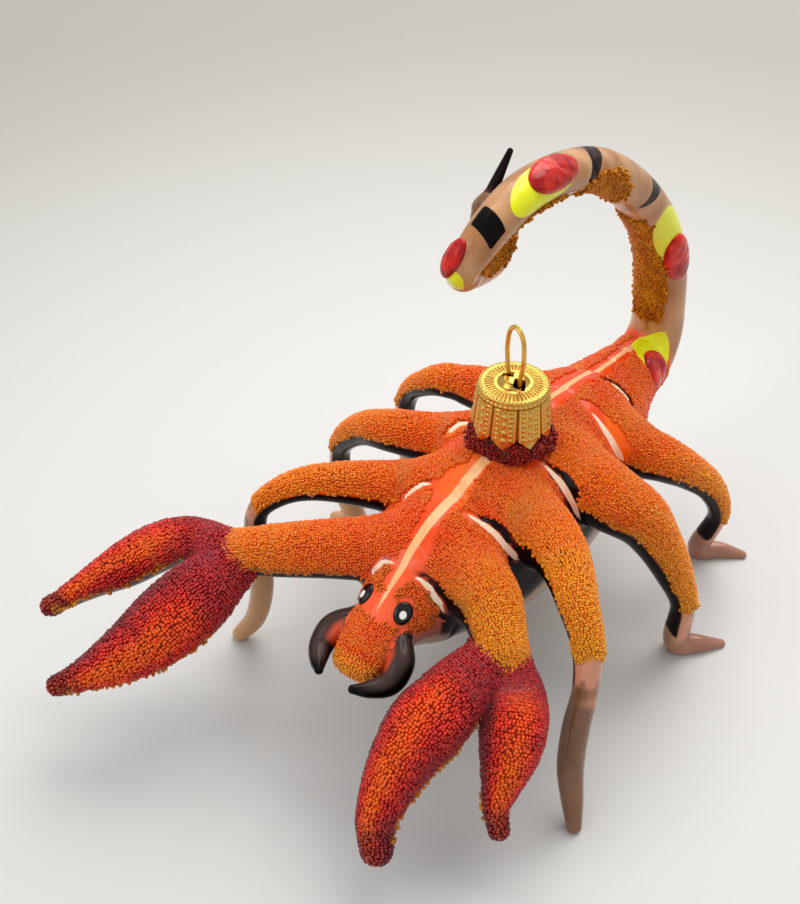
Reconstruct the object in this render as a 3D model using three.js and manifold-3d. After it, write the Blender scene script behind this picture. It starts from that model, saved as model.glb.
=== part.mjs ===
// Hanging glass scorpion: a blown body with drawn limbs, coats of fine beads, a crown cap and a wire hanger.
// Millimetres, +Z up. The head looks along -Y and +X is the animal's left side.

import * as THREE from 'three';
import { mergeVertices } from 'three/addons/utils/BufferGeometryUtils.js';
import loadManifold from 'manifold-3d';

const wasm = await loadManifold();
wasm.setup();

// Driving dimensions

const GAP = 0.3; // clearance between pieces that are fitted or stuck together
const GLASS_WALL = 1.2; // wall of the blown body and of its neck
const FOOT_FLAT = 0.5; // depth of the flat on the sole of each foot

const BEAD_COAT = 0.6; // thickness of the bead coats
const LIMB_BEAD_FACETS = 3; // facets that the beads reach down each side of a leg or an arm
const CLAW_BEAD_FACETS = 3;
const SNOUT_BEAD_FACETS = 4;
const TAIL_BEAD_FACETS = 2;
const BACK_BEADS = { from: 0.5, to: 6.5, facets: 2, middle: 3 }; // beside the stripe, in stations and facets
const SNOUT_BEAD_START = 3;

const NECK_Y = 0.5; // place of the neck's axis along the back
const NECK_DIAMETER = 10.4;
const NECK_ROOT = 4.8; // how far the neck reaches down into the back
const COLLAR_DIAMETER = 14.8; // dark bead collar at the foot of the neck
const COLLAR_HEIGHT = 3.4;

const CAP_WALL = 0.5;
const CAP_CLEARANCE = 0.4; // between the neck and the narrow end of the cap
const CAP_LENGTH = 9.6; // from the flat top to the points of the petals
const CAP_TIP_HEIGHT = 1.8; // of the points of the petals over the highest place of the back
const CAP_FLARE = 1.0; // how far the skirt opens on each side
const CAP_EDGE = 0.5; // rounding of the cap's top edge
const PETAL_COUNT = 9;
const PETAL_POINT = 2.2; // height of the notches between the petals
const PETAL_TIP = 0.6; // width left at a petal's point
const DOME_DIAMETER = 5.8;
const DOME_HEIGHT = 0.9;
const DOME_FLAT = 0.6; // share of the dome's diameter that is flat

const WIRE_DIAMETER = 0.85;
const LOOP_WIDTH = 4.8; // between the wire's centre lines
const LOOP_HEIGHT = 10.2; // of the wire's centre line over the dome
const LOOP_OUTLINE = [ // places up one side of the loop, as shares of its width and its height
  [0.45, 0.25],
  [0.5, 0.55],
  [0.36, 0.88],
];
const LOOP_TURN = 23; // degrees that the loop stands turned from square across the body
const WIRE_LEG_SPACING = 3.3; // between the centre lines of the two legs in the cap
const WIRE_LEG_DROP = 8.2; // how far the spring legs reach down into the neck
const WIRE_LEG_STRAIGHT = 3.6; // upright part of the legs under the cap's top
const SLOT_CLEARANCE = 0.35; // round the wire where it passes through the cap

const EYE_DIAMETER = 3.2;
const EYE_THICKNESS = 0.5;
const EYE_ALONG = 2.4; // in stations of the head
const EYE_ANGLE = 40; // degrees from the top of the head

const JEWEL_THICKNESS = 0.8; // of the drops of red enamel on the tail
const DROP_PROFILE = [ // rings of an eye or a jewel, as shares of its half sizes and its thickness
  [0.55, 0],
  [1, 0],
  [0.95, 0.55],
  [0.6, 0.95],
];

const LIMB_BLUNTNESS = 0.9; // length of a limb's rounded end over its radius
const BODY_BLUNTNESS = 0.3;
const HOLLOW_BLUNTNESS = 0.2;

// Body and head: place along the back, height of the underside, height of the back, width

const BODY_SECTIONS = [
  [-27, 20, 40.4, 20],
  [-20, 16.2, 43, 25],
  [-10, 12, 44.6, 28.4],
  [2, 9, 45.4, 29.6],
  [14, 8.6, 45.2, 29],
  [26, 13, 42.6, 25],
  [36, 20, 40, 18.6],
  [43, 24, 38, 12.8],
];
const HEAD_SECTIONS = [
  [-22, 17.5, 42.2, 22],
  [-30, 20.4, 39.2, 16.4],
  [-34.5, 22.4, 36.6, 12.6],
  [-38, 23.6, 34.2, 11],
  [-41.5, 24, 31.8, 10],
  [-44.4, 23.6, 29.2, 8.4],
];

// Limbs: place of the centre line and diameter of the glass at each station, from the body outwards.
// The stations of a foot have no height, because its sole lies on the ground.

const LEGS = {
  left_front_leg: {
    path: [
      [3, -8.6, 36.4, 15],
      [12.5, -9.8, 37, 12],
      [20, -14, 37.4, 8.8],
      [26, -19.5, 35.9, 6.6],
      [30.5, -23, 31.3, 5.2],
      [32.3, -25.5, 25, 4.4],
      [32.6, -28, 17, 4.7],
      [33.6, -30.3, 10, 4.6],
      [35.6, -32.2, 4.5, 3.8],
    ],
    foot: [[37.3, -33.9, 2.6]],
    beadedStations: 4,
  },
  left_middle_leg: {
    path: [
      [3.5, 7.4, 36.6, 15.4],
      [17.2, 5.2, 36.4, 12.2],
      [23, 7.8, 32.4, 10.2],
      [26.1, 9.4, 27.6, 8.4],
      [29.4, 11.1, 20.6, 6.7],
      [32.1, 12.5, 12.5, 4.8],
    ],
    foot: [
      [32.4, 12.8, 5],
      [35.8, 15.5, 3.4],
      [38.8, 18.5, 1.8],
    ],
    beadedStations: 5,
  },
  left_rear_leg: {
    path: [
      [3, 22.6, 35.6, 14],
      [15, 22.4, 34, 10],
      [19, 24.7, 32.2, 8.3],
      [22.6, 29.5, 27.6, 6.7],
      [25.4, 34, 22, 5.3],
      [26.6, 38, 13, 4],
    ],
    foot: [
      [24, 38.4, 4.4],
      [27.4, 41, 3.4],
      [31.6, 43.2, 1.8],
    ],
    beadedStations: 5,
  },
  right_front_leg: {
    path: [
      [-4, -8.6, 36.2, 14.4],
      [-11.3, -14.8, 37.6, 9.8],
      [-19.9, -22.4, 39.9, 7],
      [-25.5, -26.3, 39.3, 5.6],
      [-29.5, -29, 36.8, 4.6],
      [-32.2, -30.8, 33, 4],
      [-33, -31.2, 24, 4.3],
      [-32.6, -31, 14.4, 4.4],
      [-34.2, -32.1, 5.4, 4],
    ],
    foot: [[-36.8, -33.9, 3]],
    beadedStations: 4.5,
  },
  right_middle_leg: {
    path: [
      [-3, 7, 36.4, 14.6],
      [-14.4, 0.4, 37, 9.8],
      [-22.6, -3.4, 37.6, 7.7],
      [-30, -2, 33.8, 6.3],
      [-36, -0.4, 27.7, 4.9],
      [-39, 1.2, 22, 4.2],
      [-39.8, 2.5, 12, 4.4],
    ],
    foot: [
      [-37.5, 3.5, 4.6],
      [-40.5, 3.6, 3.4],
      [-43, 3.4, 2],
    ],
    beadedStations: 4.5,
  },
  right_rear_leg: {
    path: [
      [-3, 21, 35.8, 13.6],
      [-20.3, 17, 36.8, 7.4],
      [-24.5, 16.1, 36.5, 6.3],
      [-29.7, 17, 33, 5],
      [-35, 19.5, 27, 4.2],
      [-37.5, 21, 20, 4.2],
      [-37.5, 22, 10, 4.4],
    ],
    foot: [
      [-35.5, 22.5, 4.6],
      [-38.5, 24.5, 3.4],
      [-42, 26.5, 1.8],
    ],
    beadedStations: 4.5,
  },
};

const CLAWS = {
  left_claw: {
    arm: [
      [2, -23, 35, 14],
      [7, -24.2, 35.2, 12.8],
      [13.3, -26.6, 34.6, 11],
      [16.6, -28.9, 33, 9.4],
      [19.3, -31.2, 31, 8.4],
    ],
    inner_finger: [
      [18.6, -33, 29.5, 7.4],
      [17.3, -38.5, 28, 9.6],
      [16.5, -42.9, 26, 11.3],
      [15.5, -47.3, 24, 11.9],
      [14.8, -51.4, 21, 10.2],
      [14.6, -55.7, 17, 8.2],
      [15.2, -59.5, 13, 6.2],
      [17, -62, 9.8, 4.6],
    ],
    outer_finger: [
      [21, -31.5, 28, 7.4],
      [24.4, -34.5, 25.5, 9.2],
      [26.5, -37.8, 24, 10.1],
      [27.9, -41.2, 21, 9],
      [28.6, -44.2, 17, 6],
      [29.1, -46.5, 13.3, 3.6],
      [30.8, -47.8, 10.4, 2.8],
    ],
  },
  right_claw: {
    arm: [
      [-2, -23, 35, 13.8],
      [-8.6, -28.6, 35.2, 11],
      [-15.1, -32.9, 34.8, 9.8],
      [-22.7, -37.6, 33.8, 8.8],
      [-26.3, -40.3, 33.8, 7.6],
    ],
    inner_finger: [
      [-28, -44, 31, 9],
      [-29.6, -48.8, 28.6, 12.2],
      [-31.2, -54.1, 26.4, 12.8],
      [-34, -59.3, 23, 11.2],
      [-37.9, -64.8, 19.8, 7.6],
      [-41.6, -69, 17.5, 4.4],
      [-44, -71.4, 16.4, 3],
    ],
    outer_finger: [
      [-30, -41, 33, 6.4],
      [-38.1, -42.6, 31.8, 7.4],
      [-42.4, -45.9, 29.8, 8.4],
      [-45.6, -50.9, 27.8, 7.8],
      [-49.5, -55.5, 25, 5.5],
      [-53.1, -59.4, 22, 3.6],
      [-55.4, -61.4, 20.4, 2.9],
    ],
  },
};

const TAIL = [
  [0, 42, 31, 13],
  [0, 52.5, 31.8, 11.8],
  [0, 56.2, 36, 10.8],
  [0, 56.3, 42, 10.4],
  [0, 54.5, 52.6, 9.9],
  [0, 49.6, 62.8, 9.3],
  [0, 39, 75.2, 8.2],
  [0, 24, 86.6, 7.4],
  [0, 10.7, 91.7, 7],
  [0, -1.3, 93.3, 6.8],
  [0, -9.6, 91.6, 6.3],
  [-0.4, -13.4, 89.3, 5.7],
  [-1.6, -14.3, 86.5, 5.3],
  [-3, -11.7, 83.7, 5.3],
];
const STING_BULB = [
  [-3, -11.7, 83.7, 5.3],
  [-4.8, -6, 81, 6.1],
  [-6.8, 1.2, 79.6, 7.6],
  [-7.8, 4.2, 82.4, 8.2],
  [-8, 3.2, 85.6, 6.4],
  [-8, 2.2, 87.6, 3.6],
];
const STING = [
  [-8, 2.2, 87.4, 2.8],
  [-8, 4.6, 90.4, 1.9],
  [-8, 8.4, 94.3, 1],
];
const FANG = [
  [4.6, -38.4, 29.8, 3.6],
  [6.9, -41.6, 28.6, 4.6],
  [7, -44.8, 26.9, 4.2],
  [5.2, -47.9, 27, 2.9],
  [3.4, -50, 27.8, 1.5],
];

// Bead patches and enamel drops on the tail: first and last station, or middle station, turn and half sizes.
// A turn of 0 degrees is the hollow side of the curl and 180 degrees its outer side.
// The middle of a patch is given in facets from the hollow side.

const TAIL_BEAD_PATCHES = {
  tail_rear_beads: { from: 2.5, to: 5.5, middle: -1 },
  tail_top_beads: { from: 6, to: 7.5, middle: 0 },
  tail_front_beads: { from: 8, to: 9.5, middle: 0 },
};
const TAIL_JEWELS = {
  tail_base_jewel: { along: 0.55, turn: 60, halfLength: 0.4, halfWidth: 36 },
  tail_rear_jewel: { along: 4.5, turn: 72, halfLength: 0.55, halfWidth: 36 },
  tail_top_jewel: { along: 8.5, turn: 136, halfLength: 0.48, halfWidth: 48 },
  tail_tip_jewel: { along: 11.2, turn: 206, halfLength: 0.65, halfWidth: 44 },
};

// Fineness of the faceted forms

const LIMB_SIDES = 10;
const HEAD_SIDES = 14;
const BODY_SIDES = 24;
const HOLLOW_SIDES = 12;
const STEPS_PER_SPAN = 2;
const CLAW_STEPS_PER_SPAN = 1;
const FRAME_STEPS = 24; // frames carried along each span of a path
const CAP_STEPS = 1; // rings that round the end of a limb
const LATHE_SEGMENTS = 27;
const WIRE_SIDES = 6;
const WIRE_STEPS = 40;
const PAD_SEGMENTS = 10;
const GROUND_SIZE = 400; // block that flattens the soles

// Finishes

const FINISHES = {
  orange_glass: { color: 0xd9541e, roughness: 0.25, metalness: 0 },
  tan_glass: { color: 0xa9795a, roughness: 0.3, metalness: 0 },
  plum_glass: { color: 0x2c1c20, roughness: 0.2, metalness: 0 },
  amber_beads: { color: 0xd9721a, roughness: 0.35, metalness: 0 },
  ruby_beads: { color: 0xa3201c, roughness: 0.35, metalness: 0 },
  wine_beads: { color: 0x5c0f1c, roughness: 0.35, metalness: 0 },
  gold_beads: { color: 0xc98a1c, roughness: 0.35, metalness: 0 },
  black_enamel: { color: 0x0c0b0c, roughness: 0.15, metalness: 0 },
  red_enamel: { color: 0xb8161c, roughness: 0.12, metalness: 0 },
  gold_metal: { color: 0xd0a243, roughness: 0.3, metalness: 1 },
};
const materials = Object.fromEntries(
  Object.entries(FINISHES).map(([name, finish]) => [name, new THREE.MeshStandardMaterial(finish)]),
);

// Solids from three.js geometry

const radians = THREE.MathUtils.degToRad;

function signedVolume(positions, triangles) {
  const [a, b, c] = [new THREE.Vector3(), new THREE.Vector3(), new THREE.Vector3()];
  let volume = 0;
  for (let i = 0; i < triangles.length; i += 3) {
    a.fromArray(positions, triangles[i] * 3);
    b.fromArray(positions, triangles[i + 1] * 3);
    c.fromArray(positions, triangles[i + 2] * 3);
    volume += a.dot(b.cross(c)) / 6;
  }
  return volume;
}

// Makes a solid of a closed geometry, with its faces turned outwards.
function toSolid(geometry) {
  const bare = geometry.clone();
  bare.deleteAttribute('normal');
  bare.deleteAttribute('uv');
  const merged = mergeVertices(bare, 1e-4);
  const positions = Float32Array.from(merged.attributes.position.array);
  const index = merged.index.array;
  const triangles = [];
  for (let i = 0; i < index.length; i += 3) {
    const [a, b, c] = [index[i], index[i + 1], index[i + 2]];
    if (a !== b && b !== c && c !== a) triangles.push(a, b, c);
  }
  const turned = signedVolume(positions, triangles) < 0 ? triangles.reverse() : triangles;
  const mesh = new wasm.Mesh({ numProp: 3, vertProperties: positions, triVerts: Uint32Array.from(turned) });
  return new wasm.Manifold(mesh);
}

function toGeometry(solid) {
  const mesh = solid.getMesh();
  const geometry = new THREE.BufferGeometry();
  geometry.setAttribute('position', new THREE.BufferAttribute(Float32Array.from(mesh.vertProperties), 3));
  geometry.setIndex(new THREE.BufferAttribute(Uint32Array.from(mesh.triVerts), 1));
  geometry.computeVertexNormals();
  return geometry;
}

const cut = (solid, tools) => tools.reduce((left, tool) => left.subtract(tool), solid);

// The main body of a cut piece, without the slivers that a cut can leave.
function mainBody(solid) {
  const bodies = solid.decompose();
  return bodies.reduce((best, body) => (body.volume() > best.volume() ? body : best));
}

// Closed surface through rings of equal length, with a strip of quads or a pole at each end.
function loft(rings, { startPole, endPole, strips = false } = {}) {
  const points = rings.flat();
  const size = rings[0].length;
  const index = [];
  for (let row = 0; row + 1 < rings.length; row += 1) {
    for (let i = 0; i < size; i += 1) {
      const [a, b] = [row * size + i, row * size + ((i + 1) % size)];
      index.push(a, b, b + size, a, b + size, a + size);
    }
  }
  const last = (rings.length - 1) * size;
  if (strips) {
    for (let i = 0; i + 1 < size / 2; i += 1) {
      const [a, b, c, d] = [i, i + 1, size - 2 - i, size - 1 - i];
      index.push(a, d, c, a, c, b);
      index.push(last + a, last + c, last + d, last + a, last + b, last + c);
    }
  } else {
    const [first, end] = [points.length, points.length + 1];
    points.push(startPole, endPole);
    for (let i = 0; i < size; i += 1) {
      const next = (i + 1) % size;
      index.push(first, next, i, end, last + i, last + next);
    }
  }
  const geometry = new THREE.BufferGeometry().setFromPoints(points);
  geometry.setIndex(index);
  return geometry;
}

const turnAngles = (from, to, steps) =>
  Array.from({ length: steps + 1 }, (_, i) => from + ((to - from) * i) / steps);

// A rounded form drawn along a smooth path, with an oval section that changes from station to station.
class Limb {
  constructor(stations, { sides = LIMB_SIDES, steps = STEPS_PER_SPAN, bluntness = LIMB_BLUNTNESS } = {}) {
    this.sides = sides;
    this.bluntness = bluntness;
    this.spans = stations.length - 1;
    this.steps = steps;
    this.path = new THREE.CatmullRomCurve3(stations.map((s) => s.at), false, 'centripetal');
    const girths = stations.map((s) => new THREE.Vector3(s.width / 2, s.height / 2, 0));
    this.girth = new THREE.CatmullRomCurve3(girths, false, 'catmullrom');
    this.normals = [];
    const normal = new THREE.Vector3(0, 0, 1);
    for (let i = 0; i <= this.spans * FRAME_STEPS; i += 1) {
      const tangent = this.path.getTangent(i / (this.spans * FRAME_STEPS));
      normal.addScaledVector(tangent, -normal.dot(tangent)).normalize();
      this.normals.push(normal.clone());
    }
  }

  frame(station) {
    const t = THREE.MathUtils.clamp(station / this.spans, 0, 1);
    const tangent = this.path.getTangent(t);
    const normal = this.normals[Math.round(t * (this.normals.length - 1))].clone();
    normal.addScaledVector(tangent, -normal.dot(tangent)).normalize();
    const side = new THREE.Vector3().crossVectors(tangent, normal);
    return { point: this.path.getPoint(t), tangent, normal, side, girth: this.girth.getPoint(t) };
  }

  // Point over the surface: angle is counted from the top, grow outwards, ahead along the path.
  surface(station, angle, grow = 0, shrink = 1, ahead = 0) {
    const { point, tangent, normal, side, girth } = this.frame(station);
    point.addScaledVector(normal, (girth.y + grow) * shrink * Math.cos(angle));
    point.addScaledVector(side, (girth.x + grow) * shrink * Math.sin(angle));
    return point.addScaledVector(tangent, ahead);
  }

  // The whole form, or a copy grown on all sides for cutting a clearance out of a neighbour.
  solid(grow = 0) {
    const angles = turnAngles(0, 2 * Math.PI, this.sides).slice(0, -1);
    const ring = (station, shrink = 1, ahead = 0) =>
      angles.map((a) => this.surface(station, a, grow, shrink, ahead));
    const reach = (station) => {
      const { girth } = this.frame(station);
      return (Math.min(girth.x, girth.y) + grow) * this.bluntness;
    };
    const rounding = turnAngles(0, Math.PI / 2, CAP_STEPS + 1).slice(1, -1);
    const [start, end] = [reach(0), reach(this.spans)];
    const rings = [
      ...rounding.toReversed().map((a) => ring(0, Math.cos(a), -start * Math.sin(a))),
      ...turnAngles(0, this.spans, this.spans * this.steps).map((station) => ring(station)),
      ...rounding.map((a) => ring(this.spans, Math.cos(a), end * Math.sin(a))),
    ];
    const startPole = this.surface(0, 0, grow, 0, -start);
    const endPole = this.surface(this.spans, 0, grow, 0, end);
    return toSolid(loft(rings, { startPole, endPole }));
  }

  // A coat over part of the form, in step with its rings: it reaches some facets to each side of its middle.
  coat({ from, to, facets, middle = 0 }) {
    const facet = (2 * Math.PI) / this.sides;
    const angles = turnAngles((middle - facets) * facet, (middle + facets) * facet, 2 * facets);
    const rings = turnAngles(from, to, (to - from) * this.steps).map((station) => [
      ...angles.map((a) => this.surface(station, a, GAP + BEAD_COAT)),
      ...angles.toReversed().map((a) => this.surface(station, a, GAP)),
    ]);
    return toSolid(loft(rings, { strips: true }));
  }

  // A domed oval drop on the surface: halfLength in stations and halfWidth in degrees.
  pad({ along, turn, halfLength, halfWidth, thickness }) {
    const place = (share, direction, height) =>
      this.surface(
        along + halfLength * share * Math.cos(direction),
        radians(turn + halfWidth * share * Math.sin(direction)),
        GAP + height,
      );
    const directions = turnAngles(0, 2 * Math.PI, PAD_SEGMENTS).slice(0, -1);
    const ring = (share, height) => directions.map((d) => place(share, d, height * thickness));
    const rings = DROP_PROFILE.map(([share, height]) => ring(share, height));
    return toSolid(loft(rings, { startPole: place(0, 0, 0), endPole: place(0, 0, thickness) }));
  }
}

const tubeStations = (rows) =>
  rows.map(([x, y, z, diameter]) => ({ at: new THREE.Vector3(x, y, z), width: diameter, height: diameter }));
const ovalStations = (rows) =>
  rows.map(([y, underside, back, width]) => ({
    at: new THREE.Vector3(0, y, (underside + back) / 2),
    width,
    height: back - underside,
  }));
const footStations = (rows) =>
  rows.map(([x, y, diameter]) => [x, y, diameter / 2 - FOOT_FLAT, diameter]);
const mirrored = (rows) => rows.map(([x, ...rest]) => [-x, ...rest]);

function cylinder(diameter, bottom, top) {
  const geometry = new THREE.CylinderGeometry(diameter / 2, diameter / 2, top - bottom, LATHE_SEGMENTS);
  geometry.rotateX(Math.PI / 2);
  geometry.translate(0, NECK_Y, (top + bottom) / 2);
  return toSolid(geometry);
}

function lathe(profile) {
  const geometry = new THREE.LatheGeometry(profile.map(([r, z]) => new THREE.Vector2(r, z)), LATHE_SEGMENTS);
  geometry.rotateX(Math.PI / 2);
  return toSolid(geometry);
}

// Pieces, gathered in one group

const scorpion = new THREE.Group();
function addPiece(name, solid, finish, parent = scorpion) {
  const mesh = new THREE.Mesh(toGeometry(mainBody(solid)), materials[finish]);
  mesh.name = name;
  parent.add(mesh);
}

// Blown body: hollow, open at the neck

const bodyForm = new Limb(ovalStations(BODY_SECTIONS), { sides: BODY_SIDES, bluntness: BODY_BLUNTNESS });
const hollowShape = { sides: HOLLOW_SIDES, bluntness: HOLLOW_BLUNTNESS };
const hollowForm = new Limb(ovalStations(BODY_SECTIONS), hollowShape);
const neckBore = NECK_DIAMETER - 2 * GLASS_WALL;
const backHeight = Math.max(...BODY_SECTIONS.map(([, , back]) => back));
const neckFoot = backHeight - NECK_ROOT;
const capTips = backHeight + CAP_TIP_HEIGHT;
const capTop = capTips + CAP_LENGTH - CAP_WALL; // underside of the cap's top
const neckRim = capTop - GAP;

const bodyOuter = (grow) =>
  bodyForm.solid(grow).add(cylinder(NECK_DIAMETER + 2 * grow, neckFoot, neckRim + grow));
const neckHollow = cylinder(neckBore, neckFoot - GLASS_WALL, neckRim + GLASS_WALL);
const bodyHollow = hollowForm.solid(-GLASS_WALL).add(neckHollow);
const body = bodyOuter(0).subtract(bodyHollow);
const bodyRoom = bodyOuter(GAP);
addPiece('body_shell', body, 'orange_glass');

// Every limb in the order in which one gives way to the next

const limbs = new Map();
const headForm = new Limb(ovalStations(HEAD_SECTIONS), { sides: HEAD_SIDES });
limbs.set('head', headForm);
const clawNames = Object.keys(CLAWS);
const FINGERS = ['inner_finger', 'outer_finger'];
for (const claw of clawNames) {
  limbs.set(`${claw}_arm`, new Limb(tubeStations(CLAWS[claw].arm)));
  for (const finger of FINGERS) {
    const form = new Limb(tubeStations(CLAWS[claw][finger]), { steps: CLAW_STEPS_PER_SPAN });
    limbs.set(`${claw}_${finger}`, form);
  }
}
for (const [name, leg] of Object.entries(LEGS)) {
  limbs.set(name, new Limb(tubeStations([...leg.path, ...footStations(leg.foot)])));
}
limbs.set('tail', new Limb(tubeStations(TAIL)));
limbs.set('sting_bulb', new Limb(tubeStations(STING_BULB)));
limbs.set('sting', new Limb(tubeStations(STING), { sides: WIRE_SIDES }));
limbs.set('left_fang', new Limb(tubeStations(FANG)));
limbs.set('right_fang', new Limb(tubeStations(mirrored(FANG))));

const groundBlock = new THREE.BoxGeometry(GROUND_SIZE, GROUND_SIZE, GROUND_SIZE);
const ground = toSolid(groundBlock.translate(0, 0, -GROUND_SIZE / 2));

const limbFinish = (name) => {
  if (name.includes('fang') || name === 'sting') return 'plum_glass';
  return name === 'tail' || name === 'sting_bulb' ? 'tan_glass' : 'orange_glass';
};
const names = [...limbs.keys()];
const roomFor = (name, coated) => limbs.get(name).solid(coated ? 2 * GAP + BEAD_COAT : GAP);
names.forEach((name, order) => {
  const earlier = names.slice(0, order).map((other) => roomFor(other, false));
  addPiece(name, cut(limbs.get(name).solid(), [ground, bodyRoom, ...earlier]), limbFinish(name));
});

// Dark bead collar round the foot of the neck, under the points of the cap

const capInnerTop = NECK_DIAMETER / 2 + CAP_CLEARANCE;
const collarTop = capTips + PETAL_POINT;
const collarProfile = (grow) => [
  [0, neckFoot],
  [COLLAR_DIAMETER / 2 + grow, neckFoot],
  [COLLAR_DIAMETER / 2 + grow, collarTop - COLLAR_HEIGHT],
  [capInnerTop + grow - GAP, collarTop + grow],
  [0, collarTop + grow],
];
const collarSolid = (grow) => lathe(collarProfile(grow)).translate([0, NECK_Y, 0]);

// Bead coats, each cut back from the glass and from the coats before it

const coats = new Map();
for (const claw of clawNames) {
  const armEnd = CLAWS[claw].arm.length - 1;
  const cover = { from: 0, to: armEnd, facets: LIMB_BEAD_FACETS };
  coats.set(`${claw}_arm`, { ...cover, finish: 'amber_beads' });
  for (const finger of FINGERS) {
    const to = CLAWS[claw][finger].length - 1;
    coats.set(`${claw}_${finger}`, { from: 0, to, facets: CLAW_BEAD_FACETS, finish: 'ruby_beads' });
  }
}
for (const [name, leg] of Object.entries(LEGS)) {
  const cover = { from: 0, to: leg.beadedStations, facets: LIMB_BEAD_FACETS };
  coats.set(name, { ...cover, finish: 'amber_beads' });
}
const snout = { from: SNOUT_BEAD_START, to: HEAD_SECTIONS.length - 1, facets: SNOUT_BEAD_FACETS };
coats.set('head', { ...snout, finish: 'amber_beads' });

const coatNames = [...coats.keys()];
coatNames.forEach((name, order) => {
  const { finish, ...cover } = coats.get(name);
  const glass = names.filter((other) => other !== name).map((other) => roomFor(other, false));
  const earlier = coatNames.slice(0, order).map((other) => roomFor(other, true));
  const coat = cut(limbs.get(name).coat(cover), [bodyRoom, collarSolid(GAP), ...glass, ...earlier]);
  addPiece(`${name}_beads`, coat, finish);
});

const coatedRooms = names.map((name) => roomFor(name, coats.has(name)));
addPiece('neck_beads', cut(collarSolid(0), [bodyRoom, ...coatedRooms]), 'wine_beads');
const backTools = [collarSolid(GAP), ...coatedRooms];
const rightBack = { ...BACK_BEADS, middle: -BACK_BEADS.middle };
addPiece('left_back_beads', cut(bodyForm.coat(BACK_BEADS), backTools), 'amber_beads');
addPiece('right_back_beads', cut(bodyForm.coat(rightBack), backTools), 'amber_beads');

// Bead patches and enamel drops on the tail, and the eyes

const tailForm = limbs.get('tail');
for (const [name, patch] of Object.entries(TAIL_BEAD_PATCHES)) {
  addPiece(name, tailForm.coat({ ...patch, facets: TAIL_BEAD_FACETS }), 'gold_beads');
}
for (const [name, jewel] of Object.entries(TAIL_JEWELS)) {
  addPiece(name, cut(tailForm.pad({ ...jewel, thickness: JEWEL_THICKNESS }), [bodyRoom]), 'red_enamel');
}
const eyeGirth = headForm.frame(EYE_ALONG).girth.x;
const behindEye = headForm.frame(Math.floor(EYE_ALONG)).point;
const beforeEye = headForm.frame(Math.floor(EYE_ALONG) + 1).point;
const stationLength = behindEye.distanceTo(beforeEye);
const eye = {
  along: EYE_ALONG,
  halfLength: EYE_DIAMETER / 2 / stationLength,
  halfWidth: THREE.MathUtils.radToDeg(EYE_DIAMETER / 2 / eyeGirth),
  thickness: EYE_THICKNESS,
};
addPiece('left_eye', headForm.pad({ ...eye, turn: -EYE_ANGLE }), 'black_enamel');
addPiece('right_eye', headForm.pad({ ...eye, turn: EYE_ANGLE }), 'black_enamel');

// Crown cap: flared skirt with pointed petals, flat top and a dome with two slots for the wire

const capOuterTop = capInnerTop + CAP_WALL;
const skirtRadius = capOuterTop + CAP_FLARE;
const skirtBottom = CAP_WALL - CAP_LENGTH;
const domeRadius = DOME_DIAMETER / 2;
const domeCrown = domeRadius * DOME_FLAT;
const capCup = lathe([
  [0, DOME_HEIGHT + CAP_WALL],
  [domeCrown, DOME_HEIGHT + CAP_WALL],
  [domeRadius, CAP_WALL],
  [capOuterTop - CAP_EDGE, CAP_WALL],
  [capOuterTop, CAP_WALL - CAP_EDGE],
  [skirtRadius, skirtBottom],
  [skirtRadius - CAP_WALL, skirtBottom],
  [capInnerTop, 0],
  [domeRadius - CAP_WALL, 0],
  [domeCrown - CAP_WALL, DOME_HEIGHT],
  [0, DOME_HEIGHT],
]);

function petalNotch(turn) {
  const half = (Math.PI * skirtRadius) / PETAL_COUNT - PETAL_TIP / 2;
  const below = skirtBottom - PETAL_POINT;
  const outline = new THREE.Shape([
    new THREE.Vector2(-2 * half, below),
    new THREE.Vector2(2 * half, below),
    new THREE.Vector2(0, skirtBottom + PETAL_POINT),
  ]);
  const depth = 2 * CAP_FLARE + 2 * CAP_WALL;
  const wedge = new THREE.ExtrudeGeometry(outline, { depth, bevelEnabled: false });
  wedge.rotateX(Math.PI / 2);
  wedge.translate(0, skirtRadius + depth / 2, 0);
  return toSolid(wedge.rotateZ(turn));
}
const petalTurn = (2 * Math.PI) / PETAL_COUNT;
const notches = Array.from({ length: PETAL_COUNT }, (_, i) => petalNotch((i + 0.5) * petalTurn));

function wireSlot(side) {
  const width = WIRE_DIAMETER + 2 * SLOT_CLEARANCE;
  const box = new THREE.BoxGeometry(width, width, 4 * (DOME_HEIGHT + CAP_WALL)).rotateZ(Math.PI / 4);
  box.translate((side * WIRE_LEG_SPACING) / 2, 0, 0);
  return toSolid(box.rotateZ(radians(-LOOP_TURN)));
}

const capGroup = new THREE.Group();
capGroup.position.set(0, NECK_Y, capTop);
scorpion.add(capGroup);
addPiece('crown_cap', cut(capCup, [...notches, wireSlot(-1), wireSlot(1)]), 'gold_metal', capGroup);

// Wire hanger: an oval loop whose two legs pass through the cap and spring apart in the neck

const hangerGroup = new THREE.Group();
hangerGroup.position.copy(capGroup.position);
hangerGroup.rotation.z = radians(-LOOP_TURN);
scorpion.add(hangerGroup);

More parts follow.
